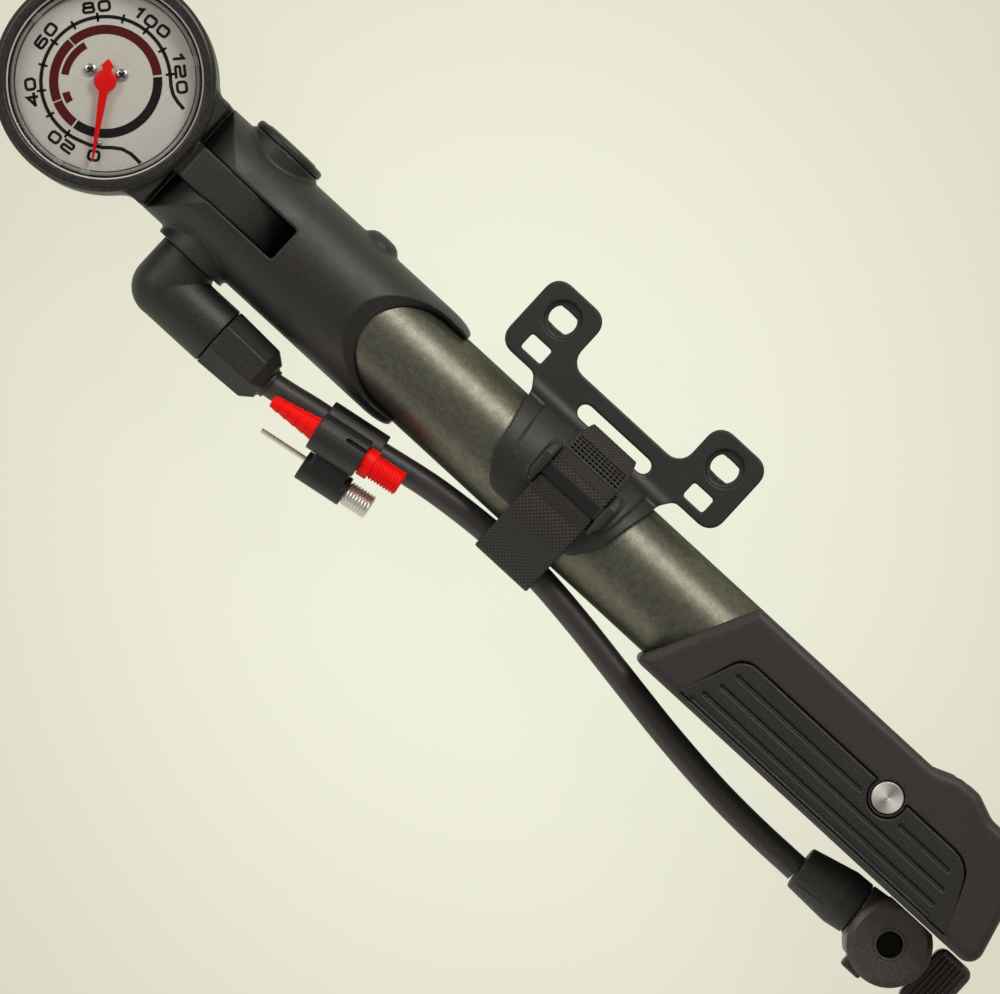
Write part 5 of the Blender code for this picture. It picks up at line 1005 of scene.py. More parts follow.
def tube(name, route, radius, segments=40):
    """A round tube with flat ends along a route that lies nearly flat."""
    bm = bmesh.new()
    rings = []
    for i, point in enumerate(route):
        along = (route[min(i + 1, len(route) - 1)] - route[max(i - 1, 0)]).normalized()
        side = along.cross(Vector((0, 0, 1))).normalized()
        top = side.cross(along)
        rings.append([bm.verts.new(point + radius * (math.cos(t) * side + math.sin(t) * top))
                      for t in angles(0, math.tau, segments)[:-1]])
    for first, second in zip(rings, rings[1:]):
        for j in range(segments):
            k = (j + 1) % segments
            bm.faces.new((first[j], first[k], second[k], second[j]))
    bm.faces.new(rings[0])
    bm.faces.new(rings[-1])
    return from_bmesh(name, bm)


def build_hose(hose):
    """The rubber hose in one piece from the nut to the chuck; it bends where the chuck swings aside."""
    route = smooth_route(HOSE_ROUTE, hose.step)
    piece = tube("hose_skin", route, hose.radius)
    shade(paint(piece, "hose_rubber"), 50)
    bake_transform(piece)
    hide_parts("hose", "hose_tail")


# Outer radius of the guide at the barrel's end
GUIDE_RADIUS = 0.0158


def build_guide():
    """The guide in the barrel's end, drawn in a little under the handle."""
    piece = node_copy("rod_guide_skin", "rod_guide")
    share = GUIDE_RADIUS / node_box("rod_guide")[1].z
    move(piece, Matrix.Diagonal((1, share, share, 1)))
    finish_piece(piece, "black_plastic", "pump", "rod_guide")


def build_barrel():
    """The painted tube with a fine chamfer at its open ends."""
    radius = BARREL_RADIUS
    wall, edge = 0.0015, 0.0004
    rear, front = BARREL_LOW.x - ORIGIN.x, BARREL_HIGH.x - ORIGIN.x
    piece = revolve("barrel_skin", [
        (radius - wall, rear), (radius - edge, rear), (radius, rear + edge), (radius, front - edge),
        (radius - edge, front), (radius - wall, front)], segments=192, closed=True)
    finish_piece(piece, "barrel_paint", "pump", "barrel_tube")


# The slope round the scoop: steps that it is cut in, before it is smoothed, and its width at the sides
BEVEL_STEPS = 6
BEVEL_SIDE = 0.0012
# A place along the barrel ahead of the collar
BEYOND = 0.01
# The screw's boss: radii and how far under its top, its foot, and the hole's radius and depth
SCREW_BOSS = ((0, 0), (0.0030, 0), (0.0046, 0.0007), (0.0058, 0.0019))
SCREW_FOOT = 0.0066
SCREW_HOLE = (0.0025, 0.0049)
# The web that closes the fork's slot below: how far its faces lie inside the round end, and its ends
WEB_FACES = (0.0003, 0.0014)
WEB_ENDS = (math.radians(235), math.radians(330))


def scoop_outline(head, reach, half_width):
    """The cut in the collar, seen from above: straight sides and an elliptical end."""
    start = head.front - head.scoop_straight
    curve = [(start - reach * math.sin(t), half_width * math.cos(t)) for t in angles(0, math.pi, 64)]
    return [(BEYOND, half_width)] + curve + [(BEYOND, -half_width)]


def build_head(head):
    """The moulded head with its fork, bosses and scooped collar."""
    bore = BARREL_RADIUS + FIT
    rear = head.pivot_x - 2 * head.fork_radius
    tall = 2 * head.fork_radius
    thins = head.radius - head.tip_radius
    tip = [(head.tip_radius + thins * math.sin(t), head.front - head.taper * (1 - math.cos(t)))
           for t in angles(0, math.pi / 2, 16)]
    piece = revolve("pump_head_skin", [(0, head.seat), (bore, head.seat), (bore, head.front)] + tip
                    + [(head.radius, rear), (0, rear)], segments=192)
    x, inner = head.pivot_x, head.radius / 2
    fork = arc((x, 0), head.fork_radius, math.pi / 2, 3 * math.pi / 2, 64)
    fork += [(BEYOND, -head.fork_radius), (BEYOND, head.fork_radius)]
    combine(piece, "INTERSECT", prism("fork_round", [fork], -tall, tall, FACE_XZ))
    boss = [(radius, head.screw_height - drop) for radius, drop in SCREW_BOSS]
    boss += [(SCREW_FOOT, head.radius - 0.0008), (SCREW_FOOT, bore + FIT), (0, bore + FIT)]
    join(piece,
         rod("cap_boss", head.boss_radius, (x, inner, 0), (x, head.cap_side, 0)),
         rod("hose_boss", head.boss_radius, (x, -inner, 0), (x, -head.hose_side, 0)),
         revolve("screw_boss", boss, ALONG_Y, (head.screw_x, 0, 0), 64))
    bands = []
    for i in range(BEVEL_STEPS):
        left = 1 - i / BEVEL_STEPS
        outline = scoop_outline(head, head.scoop_length + head.bevel * left,
                                head.scoop_width + BEVEL_SIDE * left)
        band = prism("band_%d" % i, [outline], -tall, tall)
        core = head.radius - head.bevel_depth * (i + 1) / BEVEL_STEPS
        cut(band, rod("band_core", core, (rear, 0, 0), (-rear, 0, 0), segments=128))
        bands.append(band)
    half = head.slot_width / 2
    cut(piece,
        box("slot", (rear, -half, -tall), (head.slot_end, half, tall)),
        rod("axle_hole", AXLE_HOLE, (x, -tall, 0), (x, tall, 0)),
        rod("screw_hole", SCREW_HOLE[0], (head.screw_x, head.screw_height - SCREW_HOLE[1], 0),
            (head.screw_x, tall, 0)),
        *bands, prism("scoop", [scoop_outline(head, head.scoop_length, head.scoop_width)], -tall, tall))
    web = arc((x, 0), head.fork_radius - WEB_FACES[0], *WEB_ENDS, 32)
    web += arc((x, 0), head.fork_radius - WEB_FACES[1], *WEB_ENDS[::-1], 32)
    join(piece, prism("slot_floor", [web], -half - 0.001, half + 0.001, FACE_XZ))
    finish_piece(mould(piece, 0.00042, 4), "black_plastic", "pump", "pump_head", sharp=0)

    low, high = node_box("pivot_cap")
    radius = (high.x - low.x) / 2
    profile = rounded([(0, high.y, 0), (radius - 0.0035, high.y, 0.0004),
                       (radius - 0.0028, high.y - 0.0003, 0.0004), (radius, high.y - 0.0005, 0.0011),
                       (radius, low.y, 0.0003), (0, low.y, 0)], closed=False)
    finish_piece(revolve("pivot_cap_skin", profile, ALONG_Y, (x, 0, 0)), "black_plastic", "pump", "pivot_cap")
    build_screw("head_screw_skin", "pump", "head_screw", ALONG_Y, 0.0022)


# A cross screw in shares of its radius: height of its dome, half length and half width of a slot, and its depth
DOME = 0.28
CROSS = (0.62, 0.17)
CROSS_DEPTH = 0.45
# Between these depths a face is the floor of a slot, and it is painted black as painted shade
CROSS_FLOOR = (0.3, 0.6)


def build_screw(name, body, node, turn, radius):
    """A round-headed cross screw in place of its node, with its slots sunk in the head."""
    low, high = node_box(node)
    axis = turn.to_3x3() @ Vector((0, 0, 1))
    height = abs((high - low).dot(axis))
    at = (low + high) / 2 - axis * height / 2
    dome = [(radius * math.sin(t), height - DOME * radius * (1 - math.cos(t)))
            for t in angles(0, math.pi / 2, 10)]
    piece = revolve(name, dome + [(radius, 0), (0, 0)], turn, at, 64)
    for i, (a, b) in enumerate((CROSS, CROSS[::-1])):
        bm = bmesh.new()
        bmesh.ops.create_cube(bm, size=1)
        bmesh.ops.scale(bm, vec=(2 * radius * a, 2 * radius * b, 2 * radius * CROSS_DEPTH), verts=bm.verts)
        bmesh.ops.translate(bm, vec=(0, 0, height), verts=bm.verts)
        cut(piece, from_bmesh("slot_%d" % i, bm, turn, at))
    finish_piece(piece, "steel", body, node)
    # The slot floors take the dial's black: painted shade in the slots
    paint(piece, "dial_black")
    for face in piece.data.polygons:
        deep = (height - (face.center - ORIGIN - at).dot(axis)) / radius
        face.material_index = int(CROSS_FLOOR[0] < deep < CROSS_FLOOR[1] and face.normal.dot(axis) > 0.9)


def build_gauge_case(gauge):
    """The gauge's cup with neck and tongue, the bezel ring and the lens."""
    at = (gauge.x, 0, 0)
    neck_low, neck_high = -0.0120, 0.0140
    foot = arc((gauge.radius - gauge.edge, gauge.bottom + gauge.edge), gauge.edge, 0, -math.pi / 2, 16)
    piece = revolve("gauge_housing_skin",
                    [(0, gauge.rim), (gauge.radius, gauge.rim)] + foot + [(0, gauge.bottom)], ALONG_Z, at, 192)
    reach = math.sqrt((gauge.radius + gauge.neck_fillet) ** 2 - (gauge.neck_width + gauge.neck_fillet) ** 2)
    meet = math.atan2(gauge.neck_width + gauge.neck_fillet, reach)
    upper = arc((gauge.x + reach, gauge.neck_width + gauge.neck_fillet), gauge.neck_fillet, -math.pi / 2,
                meet - math.pi, 16)
    side = [(gauge.neck_end, gauge.neck_width)] + upper + [(gauge.x, gauge.radius / 2)]
    neck = prism("neck", [side + [(x, -y) for x, y in reversed(side)]], neck_low, neck_high)
    pivot = PIVOT_X
    back = gauge.neck_end - 0.0025
    tongue = prism("tongue", [arc((pivot, 0), gauge.tongue_radius, math.pi / 2, -0.7 * math.pi, 64)
                              + [(gauge.neck_end, neck_low), (back, neck_low), (back, neck_high),
                                 (gauge.neck_end, neck_high), (gauge.neck_end + 0.003, gauge.tongue_radius)]],
                   -gauge.tongue_width / 2, gauge.tongue_width / 2, FACE_XZ)
    fork_round = pivot - gauge.neck_end
    lip = box("neck_lip", (back, -gauge.neck_width, neck_low),
              (gauge.neck_end + gauge.neck_lip, gauge.neck_width, 0))
    cut(lip, rod("lip_round", fork_round, (pivot, -gauge.radius, 0), (pivot, gauge.radius, 0), segments=128))
    join(piece, neck, lip, tongue)
    lens_seat, ledge, floor = (gauge.rim - gauge.lens_thickness - FIT, gauge.dial_top - 0.0009,
                               gauge.bottom + 0.0025)
    hollow = [(0, gauge.radius), (gauge.lens_radius + FIT, gauge.radius), (gauge.lens_radius + FIT, lens_seat),
              (gauge.dial_radius + FIT, lens_seat), (gauge.dial_radius + FIT, ledge), (gauge.case_radius, ledge),
              (gauge.case_radius, floor), (0, floor)]
    cut(piece, revolve("hollow", hollow, ALONG_Z, at, 192),
        rod("axle_hole", AXLE_HOLE, (pivot, -gauge.radius, 0), (pivot, gauge.radius, 0)))
    finish_piece(mould(piece, 0.00045, 4), "black_plastic", "gauge", "gauge_housing", sharp=0)

    inner = gauge.radius - gauge.bezel_width
    low, top = gauge.rim + FIT, gauge.bezel_top
    ring = rounded([(inner, low, 0.0002), (inner, top, 0.0007), (gauge.radius - 0.0012, top, 0.0012),
                    (gauge.radius, low + 0.0004, 0.0006), (gauge.radius, low, 0.0001)])
    finish_piece(revolve("gauge_bezel_skin", ring, ALONG_Z, at, 192, True), "smooth_plastic", "gauge",
                 "gauge_bezel")
    lens_low = gauge.rim - gauge.lens_thickness
    lens = rounded([(0, gauge.rim, 0), (gauge.lens_radius, gauge.rim, 0.0005),
                    (gauge.lens_radius, lens_low, 0.0002), (0, lens_low, 0)], closed=False)
    finish_piece(revolve("gauge_lens_skin", lens, ALONG_Z, at, 128), "lens_clear", "gauge", "gauge_lens")
    build_lens_rim(gauge, lens_low)


# The skirt's dark rings are painted shade lines, its pale ring and lugs a painted reflection, its bright ring a
# painted highlight
# Rings of the lens's skirt: middle radius, half width, height, finish; then its lugs: directions in degrees,
# inner and outer radius, half width, rounding
LENS_RINGS = ((0.0263, 0.00012, 0.0020, "lens_dark"), (0.0271, 0.00050, 0.0024, "lens_edge"),
              (0.0279, 0.00026, 0.0030, "lens_dark"), (0.0285, 0.00030, 0.0034, "lens_bright"))
LENS_LUGS = (180.0, 135.0, 55.0, -60.0, -78.0)
LUG_REACH = (0.0262, 0.0283)
LUG_HALF = 0.0016
LUG_EDGE = 0.0003


def build_lens_rim(gauge, top):
    """The clear stepped skirt inside the lens's edge, with its snap lugs."""
    at = (gauge.x, 0, 0)
    low = gauge.dial_top + FIT
    rings = []
    for i, (middle, half, rise, material) in enumerate(LENS_RINGS):
        profile = rounded([(middle - half, low, 0.0001), (middle - half, low + rise, half * 0.8),
                           (middle + half, low + rise, half * 0.8), (middle + half, low, 0.0001)])
        rings.append(paint(revolve("lens_ring_%d" % i, profile, ALONG_Z, at, 160, True), material))
    for i, degrees in enumerate(LENS_LUGS):
        lug = box("lens_lug_%d" % i, (LUG_REACH[0], -LUG_HALF, low), (LUG_REACH[1], LUG_HALF, top - 0.0004))
        move(lug, Matrix.Translation(at) @ Matrix.Rotation(math.radians(degrees), 4, "Z"))
        rings.append(round_edges(paint(lug, "lens_edge"), LUG_EDGE, 2))
    rim = merge("lens_rim", rings)
    rim.data.shade_smooth()
    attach(rim, "gauge")


# Directions on the dial in degrees: of 0, of the first number after it, and for one unit from there
ZERO_AT, FIRST_AT, PER_UNIT = -56.6, -83.7, -2.275
NUMBERS = (0, 20, 40, 60, 80, 100, 120)
# Lines of each figure in a box one wide and one high: whether the line is closed, its corners, their rounding
FIGURES = {
    "0": ((True, ((0, 0), (1, 0), (1, 1), (0, 1)), 0.32),),
    "1": ((False, ((0.16, 0.78), (0.66, 1), (0.66, 0)), 0.0),),
    "2": ((False, ((0.02, 1), (1, 1), (1, 0.5), (0, 0.5), (0, 0), (1, 0)), 0.17),),
    "4": ((False, ((0.76, 0), (0.76, 1), (0, 0.28)), 0.0), (False, ((0, 0.28), (1.06, 0.28)), 0.0)),
    "6": ((True, ((0, 0), (1, 0), (1, 0.56), (0, 0.56)), 0.24), (False, ((0.94, 1), (0, 1), (0, 0.3)), 0.26)),
    "8": ((True, ((0, 0), (1, 0), (1, 0.52), (0, 0.52)), 0.22),
          (True, ((0.06, 0.52), (0.94, 0.52), (0.94, 1), (0.06, 1)), 0.22)),
}
NARROW_FIGURE = 0.72
# Ends of the scale line, running out to the rim: directions in degrees and radii, from the line outwards
LOW_TAIL = ((-62.0, 0.0190), (-50.0, 0.0192), (-41.8, 0.0193), (-33.7, 0.0202), (-28.1, 0.0223), (-24.8, 0.0253))
HIGH_TAIL = ((38.4, 0.0190), (31.3, 0.0200), (26.7, 0.0217), (23.6, 0.0236))
# Ends of the scale line's round part and marks across it; then the bands, from pressure to pressure
SCALE_ENDS = (15, 122)
TICKS = 11
OUTER_BANDS = ((20.4, 33.6), (34.2, 64.8), (65.4, 119.7))
INNER_BANDS = ((30.6, 37.0), (47.7, 70.4))
DARK_BAND_START = 120.6
# Stop pin beside the 0: direction in degrees, distance from the middle, radius
STOP_PIN = (-53.0, 0.0180, 0.0007)


def dial_angle(pressure):
    """Direction of a pressure on the dial, in radians."""
    first = NUMBERS[1]
    if pressure < first:
        return math.radians(ZERO_AT + (FIRST_AT - ZERO_AT) * pressure / first)
    return math.radians(FIRST_AT + (pressure - first) * PER_UNIT)


def polar(angle, radius):
    """A point at a direction and a distance."""
    return (radius * math.cos(angle), radius * math.sin(angle))


def printed_shape(name, gauge, outlines, material):
    """A thin printed shape on the dial."""
    return paint(prism(name, outlines, gauge.dial_top, gauge.dial_top + gauge.ink, at=(gauge.x, 0, 0)), material)


def dial_line(name, gauge, route, width, material, closed=False):
    """A printed line of even width along a route."""
    points = [Vector(p) for p in route]
    count = len(points)
    if not closed:
        points[0] += (points[0] - points[1]).normalized() * width / 2
        points[-1] += (points[-1] - points[-2]).normalized() * width / 2
    sides = ([], [])
    for i, here in enumerate(points):
        ahead = points[(i + 1) % count] if closed or i + 1 < count else None
        behind = points[i - 1] if closed or i else None
        into = (here - behind).normalized() if behind else None
        out = (ahead - here).normalized() if ahead else into
        into = into or out
        across = Vector((-into.y - out.y, into.x + out.x)).normalized()
        reach = width / 2 / max(across.dot(Vector((-into.y, into.x))), 0.4)
        sides[0].append(tuple(here + across * reach))
        sides[1].append(tuple(here - across * reach))
    outlines = [sides[0], sides[1]] if closed else [sides[0] + sides[1][::-1]]
    return printed_shape(name, gauge, outlines, material)


def dial_band(name, gauge, start, end, middle, width, material, steps=64):
    """A printed band round part of the dial, between two directions."""
    outer = arc((0, 0), middle + width / 2, start, end, steps)
    inner = arc((0, 0), middle - width / 2, end, start, steps)
    return printed_shape(name, gauge, [outer + inner], material)


def dial_number(gauge, number):
    """A plain number in wide square figures, its top outwards."""
    figures = str(number)
    widths = [gauge.number_width * (NARROW_FIGURE if f == "1" else 1) for f in figures]
    angle = dial_angle(number)
    outward = Vector(polar(angle, 1))
    along = Vector((outward.y, -outward.x))
    left = -(sum(widths) + gauge.number_gap * (len(figures) - 1)) / 2
    tall = gauge.number_height - gauge.stroke
    pieces = []
    for i, figure in enumerate(figures):
        wide = widths[i] - gauge.stroke
        for j, (closed, corners, rounding) in enumerate(FIGURES[figure]):
            flat = [(a * wide, b * tall, rounding * tall) for a, b in corners]
            route = rounded(flat, 6, closed) if rounding else [(a, b) for a, b, _ in flat]
            route = [along * (left + gauge.stroke / 2 + a) + outward * (gauge.number_radius + b - tall / 2)
                     for a, b in route]
            name = "figure_%d_%d_%d" % (number, i, j)
            pieces.append(dial_line(name, gauge, route, gauge.stroke, "dial_black", closed))
        left += widths[i] + gauge.number_gap
    return pieces


def build_dial(gauge):
    """The dial with its printing, its two screws and the pointer."""
    make_tick_tree()
    at = (gauge.x, 0, gauge.dial_top + gauge.ink / 2)
    low, high = node_box("dial_plate")
    disc = rounded([(0, high.z, 0), (gauge.dial_radius, high.z, 0.0001), (gauge.dial_radius, low.z, 0.0001),
                    (0, low.z, 0)], closed=False)
    finish_piece(revolve("dial_skin", disc, ALONG_Z, (gauge.x, 0, 0), 128), "dial_silver", "gauge", "dial_plate")
    first, last = dial_angle(NUMBERS[1]), dial_angle(NUMBERS[-1])
    printed = [figure for number in NUMBERS for figure in dial_number(gauge, number)]
    route = [polar(math.radians(a), r) for a, r in LOW_TAIL[::-1]]
    route += arc((0, 0), gauge.scale_radius, *(dial_angle(end) for end in SCALE_ENDS), 120)
    route += [polar(math.radians(a - 360), r) for a, r in HIGH_TAIL]
    route = rounded([(a, b, 0.0012) for a, b in route], 4, False)
    printed.append(dial_line("scale_line", gauge, route, gauge.scale_width, "dial_black"))
    printed.append(grow("tick_ring", "ticks", "dial_black", at=at, Count=TICKS, Radius=gauge.scale_radius,
                        Start=first, Sweep=last - first, Length=gauge.tick_length, Width=gauge.tick_width,
                        Thickness=gauge.ink))
    for bands, radius, width in ((OUTER_BANDS, gauge.band_radius, gauge.band_width),
                                 (INNER_BANDS, gauge.inner_radius, gauge.inner_width)):
        for start, end in bands:
            printed.append(dial_band("band", gauge, dial_angle(start), dial_angle(end), radius, width,
                                     "dial_red"))
    printed.append(dial_band("dark_band", gauge, dial_angle(DARK_BAND_START),
                             first - math.tau + math.radians(1.0), gauge.band_radius,
                             gauge.band_width, "dial_black"))
    marks = merge("dial_printing", printed)
    marks.data.shade_flat()
    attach(marks, "gauge")
    for i in (1, 2):
        build_screw("dial_screw_skin_%d" % i, "gauge", "dial_screw_%d" % i, ALONG_Z, 0.0018)
    direction, distance, radius = STOP_PIN
    pin_x, pin_y = polar(math.radians(direction), distance)
    low, high = node_box("stop_pin")
    stud = rounded([(0, high.z, 0), (radius, high.z, 0.0006), (radius, low.z, 0), (0, low.z, 0)], closed=False)
    finish_piece(revolve("stop_pin_skin", stud, ALONG_Z, (gauge.x + pin_x, pin_y, 0), 32), "steel", "gauge",
                 "stop_pin")
    build_pointer(gauge)


def build_pointer(gauge):
    """The red pointer: domed hub, tapering needle and a small arrow for a tail."""
    low, high = node_box("pointer")
    hub, tip, tail = gauge.pointer_hub, gauge.pointer_tip, gauge.pointer_tail
    outline = [(0, -0.0015), (tip, -0.00025), (tip, 0.00025), (0, 0.0015), (-0.62 * tail, 0.0013),
               (-0.66 * tail, 0.0020), (-tail, 0.0002), (-tail, -0.0002), (-0.66 * tail, -0.0020),
               (-0.62 * tail, -0.0013)]
    needle = prism("pointer_skin", [outline], low.z, high.z - 0.0003, at=(gauge.x, 0, 0), spin=dial_angle(0))
    dome = arc((0, 0), 1, math.pi / 2, 0, 10)
    profile = [(hub * a, high.z - 0.0006 + 0.0006 * b) for a, b in dome] + [(hub, low.z), (0, low.z)]
    join(round_edges(needle, 0.00022, 2), revolve("pointer_hub", profile, ALONG_Z, (gauge.x, 0, 0), 64))
    finish_piece(needle, "pointer_red", "pointer", "pointer")


# Sides of the hose nut
NUT_SIDES = 8


def build_fitting():
    """The elbow under the head and the eight-sided hose nut."""
    low, high = node_box("hose_elbow")
    radius = (high.z - low.z) / 2
    pivot, end, leg_y = low.x + radius, high.x, low.y + radius
    top, spigot = -0.0215, 0.0062
    elbow = rod("hose_elbow_skin", radius, (pivot, top, 0), (pivot, leg_y, 0), segments=96)
    ball = arc((0, 0), radius, -math.pi / 2, math.pi / 2, 48)
    bend = revolve("bend", ball, ALONG_Z, (pivot, leg_y, 0), 96)
    join(elbow, bend, rod("leg", radius - 0.0001, (pivot, leg_y, 0), (end, leg_y, 0), segments=96),
         rod("spigot", spigot, (pivot, leg_y, 0), (pivot, high.y, 0)))
    finish_piece(mould(elbow, 0.00035, 4), "black_plastic", "pump", "hose_elbow", sharp=0)

    low, high = node_box("hose_nut")
    flat = (high.z - low.z) / 2
    corner = 1 / math.cos(math.pi / NUT_SIDES)
    nose, inside, collar, bore = 0.0062, 0.0043, 0.0048, 0.0041
    profile = [(inside, high.x), (nose * corner, high.x), ((flat - 0.0006) * corner, high.x - 0.0035),
               (flat * corner, low.x), (inside, low.x)]
    nut = revolve("hose_nut_skin", profile, ALONG_X @ Matrix.Rotation(math.pi / NUT_SIDES, 4, "Z"), (0, leg_y, 0),
                  NUT_SIDES, True)
    join(nut, rod("collar", collar, (low.x + 0.001, leg_y, 0), (high.x + 0.0016, leg_y, 0)))
    cut(nut, rod("nut_bore", bore, (low.x - 0.01, leg_y, 0), (high.x + 0.01, leg_y, 0)))
    finish_piece(mould(nut, 0.00030, 3), "black_plastic", "pump", "hose_nut", sharp=0)


# Outlines on the bracket seen from above, as corners with their rounding: the saddle's middle and one ear
PLATEAU = ((0.0278, 0.0300, 0), (0.0283, 0.0150, 0.004), (0.0292, 0.0088, 0.004), (0.0298, 0.0034, 0.003),
           (0.0318, 0.0004, 0.002), (0.0352, -0.0012, 0.002), (0.0381, -0.0019, 0), (0.0628, -0.0019, 0),
           (0.0648, 0.0003, 0.002), (0.0661, 0.0033, 0.002), (0.0666, 0.0083, 0.004), (0.0674, 0.0150, 0.004),
           (0.0678, 0.0300, 0))
EAR = ((0.0392, -0.0029, 0.0010), (0.0372, 0.0009, 0.0020), (0.03685, 0.0096, 0.0020), (0.0388, 0.01215, 0.0010),
       (0.0412, 0.0115, 0), (0.0412, -0.0018, 0))
# Reach of the ear's trim from the strap's middle, and the bar across the barrel
EAR_TRIM = (0.0106, 0.0146)
BAR = (-0.0005, 0.0090)
# The two bolt holes, round with flats along the barrel
BOLTS = (0.0152, 0.0792)
BOLT_Y = 0.0390
BOLT_RADIUS = 0.00425
BOLT_FLAT = math.asin(0.0029 / BOLT_RADIUS)


def build_bracket(strap):
    """The moulded frame bracket: stepped saddle, rounded ears and softened edges."""
    bracket = node_copy("mount_bracket_skin", "mount_bracket")
    low, high = node_box("mount_bracket")
    flange = box("flange", (low.x - 0.01, low.y - 0.01, 0), (high.x + 0.01, 0.0174, 2 * high.z))
    cut(flange, prism("plateau", [rounded_mixed(PLATEAU)], -0.01, 3 * high.z))
    cut(flange, rod("flange_core", strap.saddle - strap.flange_step, (low.x - 0.02, 0, 0), (high.x + 0.02, 0, 0),
                    segments=160))
    trims = []
    for side in (1, -1):
        near, far = (strap.middle - side * d for d in EAR_TRIM)
        trim = box("ear_trim", (min(near, far), -0.0040, 0.010), (max(near, far), 0.0130, 2 * high.z))
        lozenge = [(strap.middle + side * (a - strap.middle), b, r) for a, b, r in EAR]
        cut(trim, prism("ear", [rounded_mixed(lozenge)], 0, 3 * high.z))
        cut(trim, rod("ear_root", strap.saddle + 0.0002, (low.x, 0, 0), (high.x, 0, 0), segments=160))
        trims.append(trim)
    holes = [prism("bolt_hole", [arc((x, BOLT_Y), BOLT_RADIUS, -BOLT_FLAT, BOLT_FLAT, 16)
                                 + arc((x, BOLT_Y), BOLT_RADIUS, math.pi - BOLT_FLAT, math.pi + BOLT_FLAT, 16)],
                   -2 * high.z, 2 * high.z) for x in BOLTS]
    bar_top = box("bar_top", (strap.middle - 0.0104, BAR[0], strap.bar),
                  (strap.middle + 0.0104, BAR[1], 2 * high.z))
    cut(bracket, flange, bar_top, *trims, *holes)
    finish_piece(mould(bracket, 0.00036, 3), "black_plastic", "pump", "mount_bracket", sharp=0)
    # The top of the bar takes the darker plastic: painted shade where the ears shade the bar
    paint(bracket, "shaded_plastic")
    for face in bracket.data.polygons:
        x, y, z = face.center - ORIGIN
        in_bar = abs(x - strap.middle) < 0.0105 and BAR[0] < y < BAR[1]
        face.material_index = int(in_bar and z > strap.saddle + 0.0002)


# Zones of the strap round the barrel, in degrees from the bolt side: open weave, and the ribs beside the bar
OPEN_WEAVE = (33.0, 54.0)
RIB_ZONES = ((54.5, 66.0), (85.0, 98.5))
# Where the strap narrows into its slot, in the same degrees
DRAWN_IN = (14.0, 44.0)


def build_strap(strap):
    """The webbing strap: hook side below, an open weave and ribbed edges where it turns round the bar."""
    make_thread_tree()
    low, high = node_box("mount_strap")
    base = mould(node_copy("mount_strap_skin", "mount_strap"), 0.00045, 3)
    base.data.materials.clear()
    paint(base, "strap_web", "strap_dark")
    wide = high.x - low.x
    # Faces of the skin under the open weave get the near black: painted shade in the gaps between the threads
    for face in base.data.polygons:
        place = face.center - ORIGIN
        turn = math.degrees(math.atan2(place.z, place.y))
        inside = OPEN_WEAVE[0] < turn < OPEN_WEAVE[1] and abs(place.x - strap.middle) < 0.46 * wide
        face.material_index = int(inside and math.hypot(place.y, place.z) > strap.outer - 0.0006)
    base.data.shade_smooth()
    upright = FACE_YZ[0]
    first, last = (math.radians(a) for a in OPEN_WEAVE)
    rows = max(2, round((last - first) * strap.outer / strap.mesh_pitch))
    columns = int(0.92 * wide / strap.mesh_pitch) + 1
    start = strap.middle - (columns - 1) * strap.mesh_pitch / 2
    pieces = [base,
              grow("tick_ring", "weave_rows", "strap_thread", upright, (strap.middle, 0, 0), Count=rows,
                   Radius=strap.outer, Start=first, Sweep=last - first, Length=2 * strap.mesh_thread,
                   Width=2 * strap.mesh_thread, Thickness=0.94 * wide),
              grow("thread_arcs", "weave_columns", "strap_thread", upright, (start, 0, 0), Count=columns,
                   Pitch=strap.mesh_pitch, Radius=strap.outer, Start=first, Sweep=last - first,
                   Thread=strap.mesh_thread)]
    count = int(0.98 * wide / strap.rib_pitch)
    start = strap.middle - (count - 1) * strap.rib_pitch / 2
    for first, last in RIB_ZONES:
        pieces.append(grow("thread_arcs", "ribs", "strap_thread", upright, (start, 0, 0), Count=count,
                           Pitch=strap.rib_pitch, Radius=strap.outer, Start=math.radians(first),
                           Sweep=math.radians(last - first), Thread=strap.rib_thread))
    piece = merge("mount_strap_skin", pieces)
    for vertex in piece.data.vertices:
        place = vertex.co - ORIGIN
        turn = math.degrees(math.atan2(place.z, place.y))
        near = max(0, min(1, (DRAWN_IN[1] - abs(turn)) / (DRAWN_IN[1] - DRAWN_IN[0])))
        vertex.co.x += (strap.middle - place.x) * strap.drawn_in * near * near
    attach(piece, "pump")
    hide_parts("mount_strap")


def handle_outline(handle, back, tip, bump_top):
    """The handle seen from above: slanted front rim, straight grip side, open side with its bump."""
    near, far = handle.bump_x - handle.bump_length / 2, handle.bump_x + handle.bump_length / 2
    ahead, corner, ramp, side = 0.012, 0.0044, 0.0070, handle.open_side
    return rounded([
        (handle.front_grip - ahead, back, corner), (tip, back, corner), (handle.end_open, side, 0.0060),
        (far + handle.bump_ramp, side, ramp), (far, bump_top, corner), (near, bump_top, corner),
        (near - handle.bump_ramp, side, ramp), (handle.front_open - ahead, side, corner)], 12)


# Corners of the soft panel along the barrel: front and rear, at its outer and inner edge; its two roundings
PANEL_FRONT = (0.1122, 0.1202)
PANEL_END = (0.2180, 0.2080)
PANEL_ROUNDING = (0.0065, 0.0090)
# Grooves of the soft panel: level across the barrel, start and end along it
GROOVES = ((-0.0030, 0.1217, 0.1708), (-0.0030, 0.1853, 0.2054), (-0.0082, 0.1202, 0.2079),
           (-0.0131, 0.1178, 0.2085), (-0.0164, 0.1162, 0.2098))


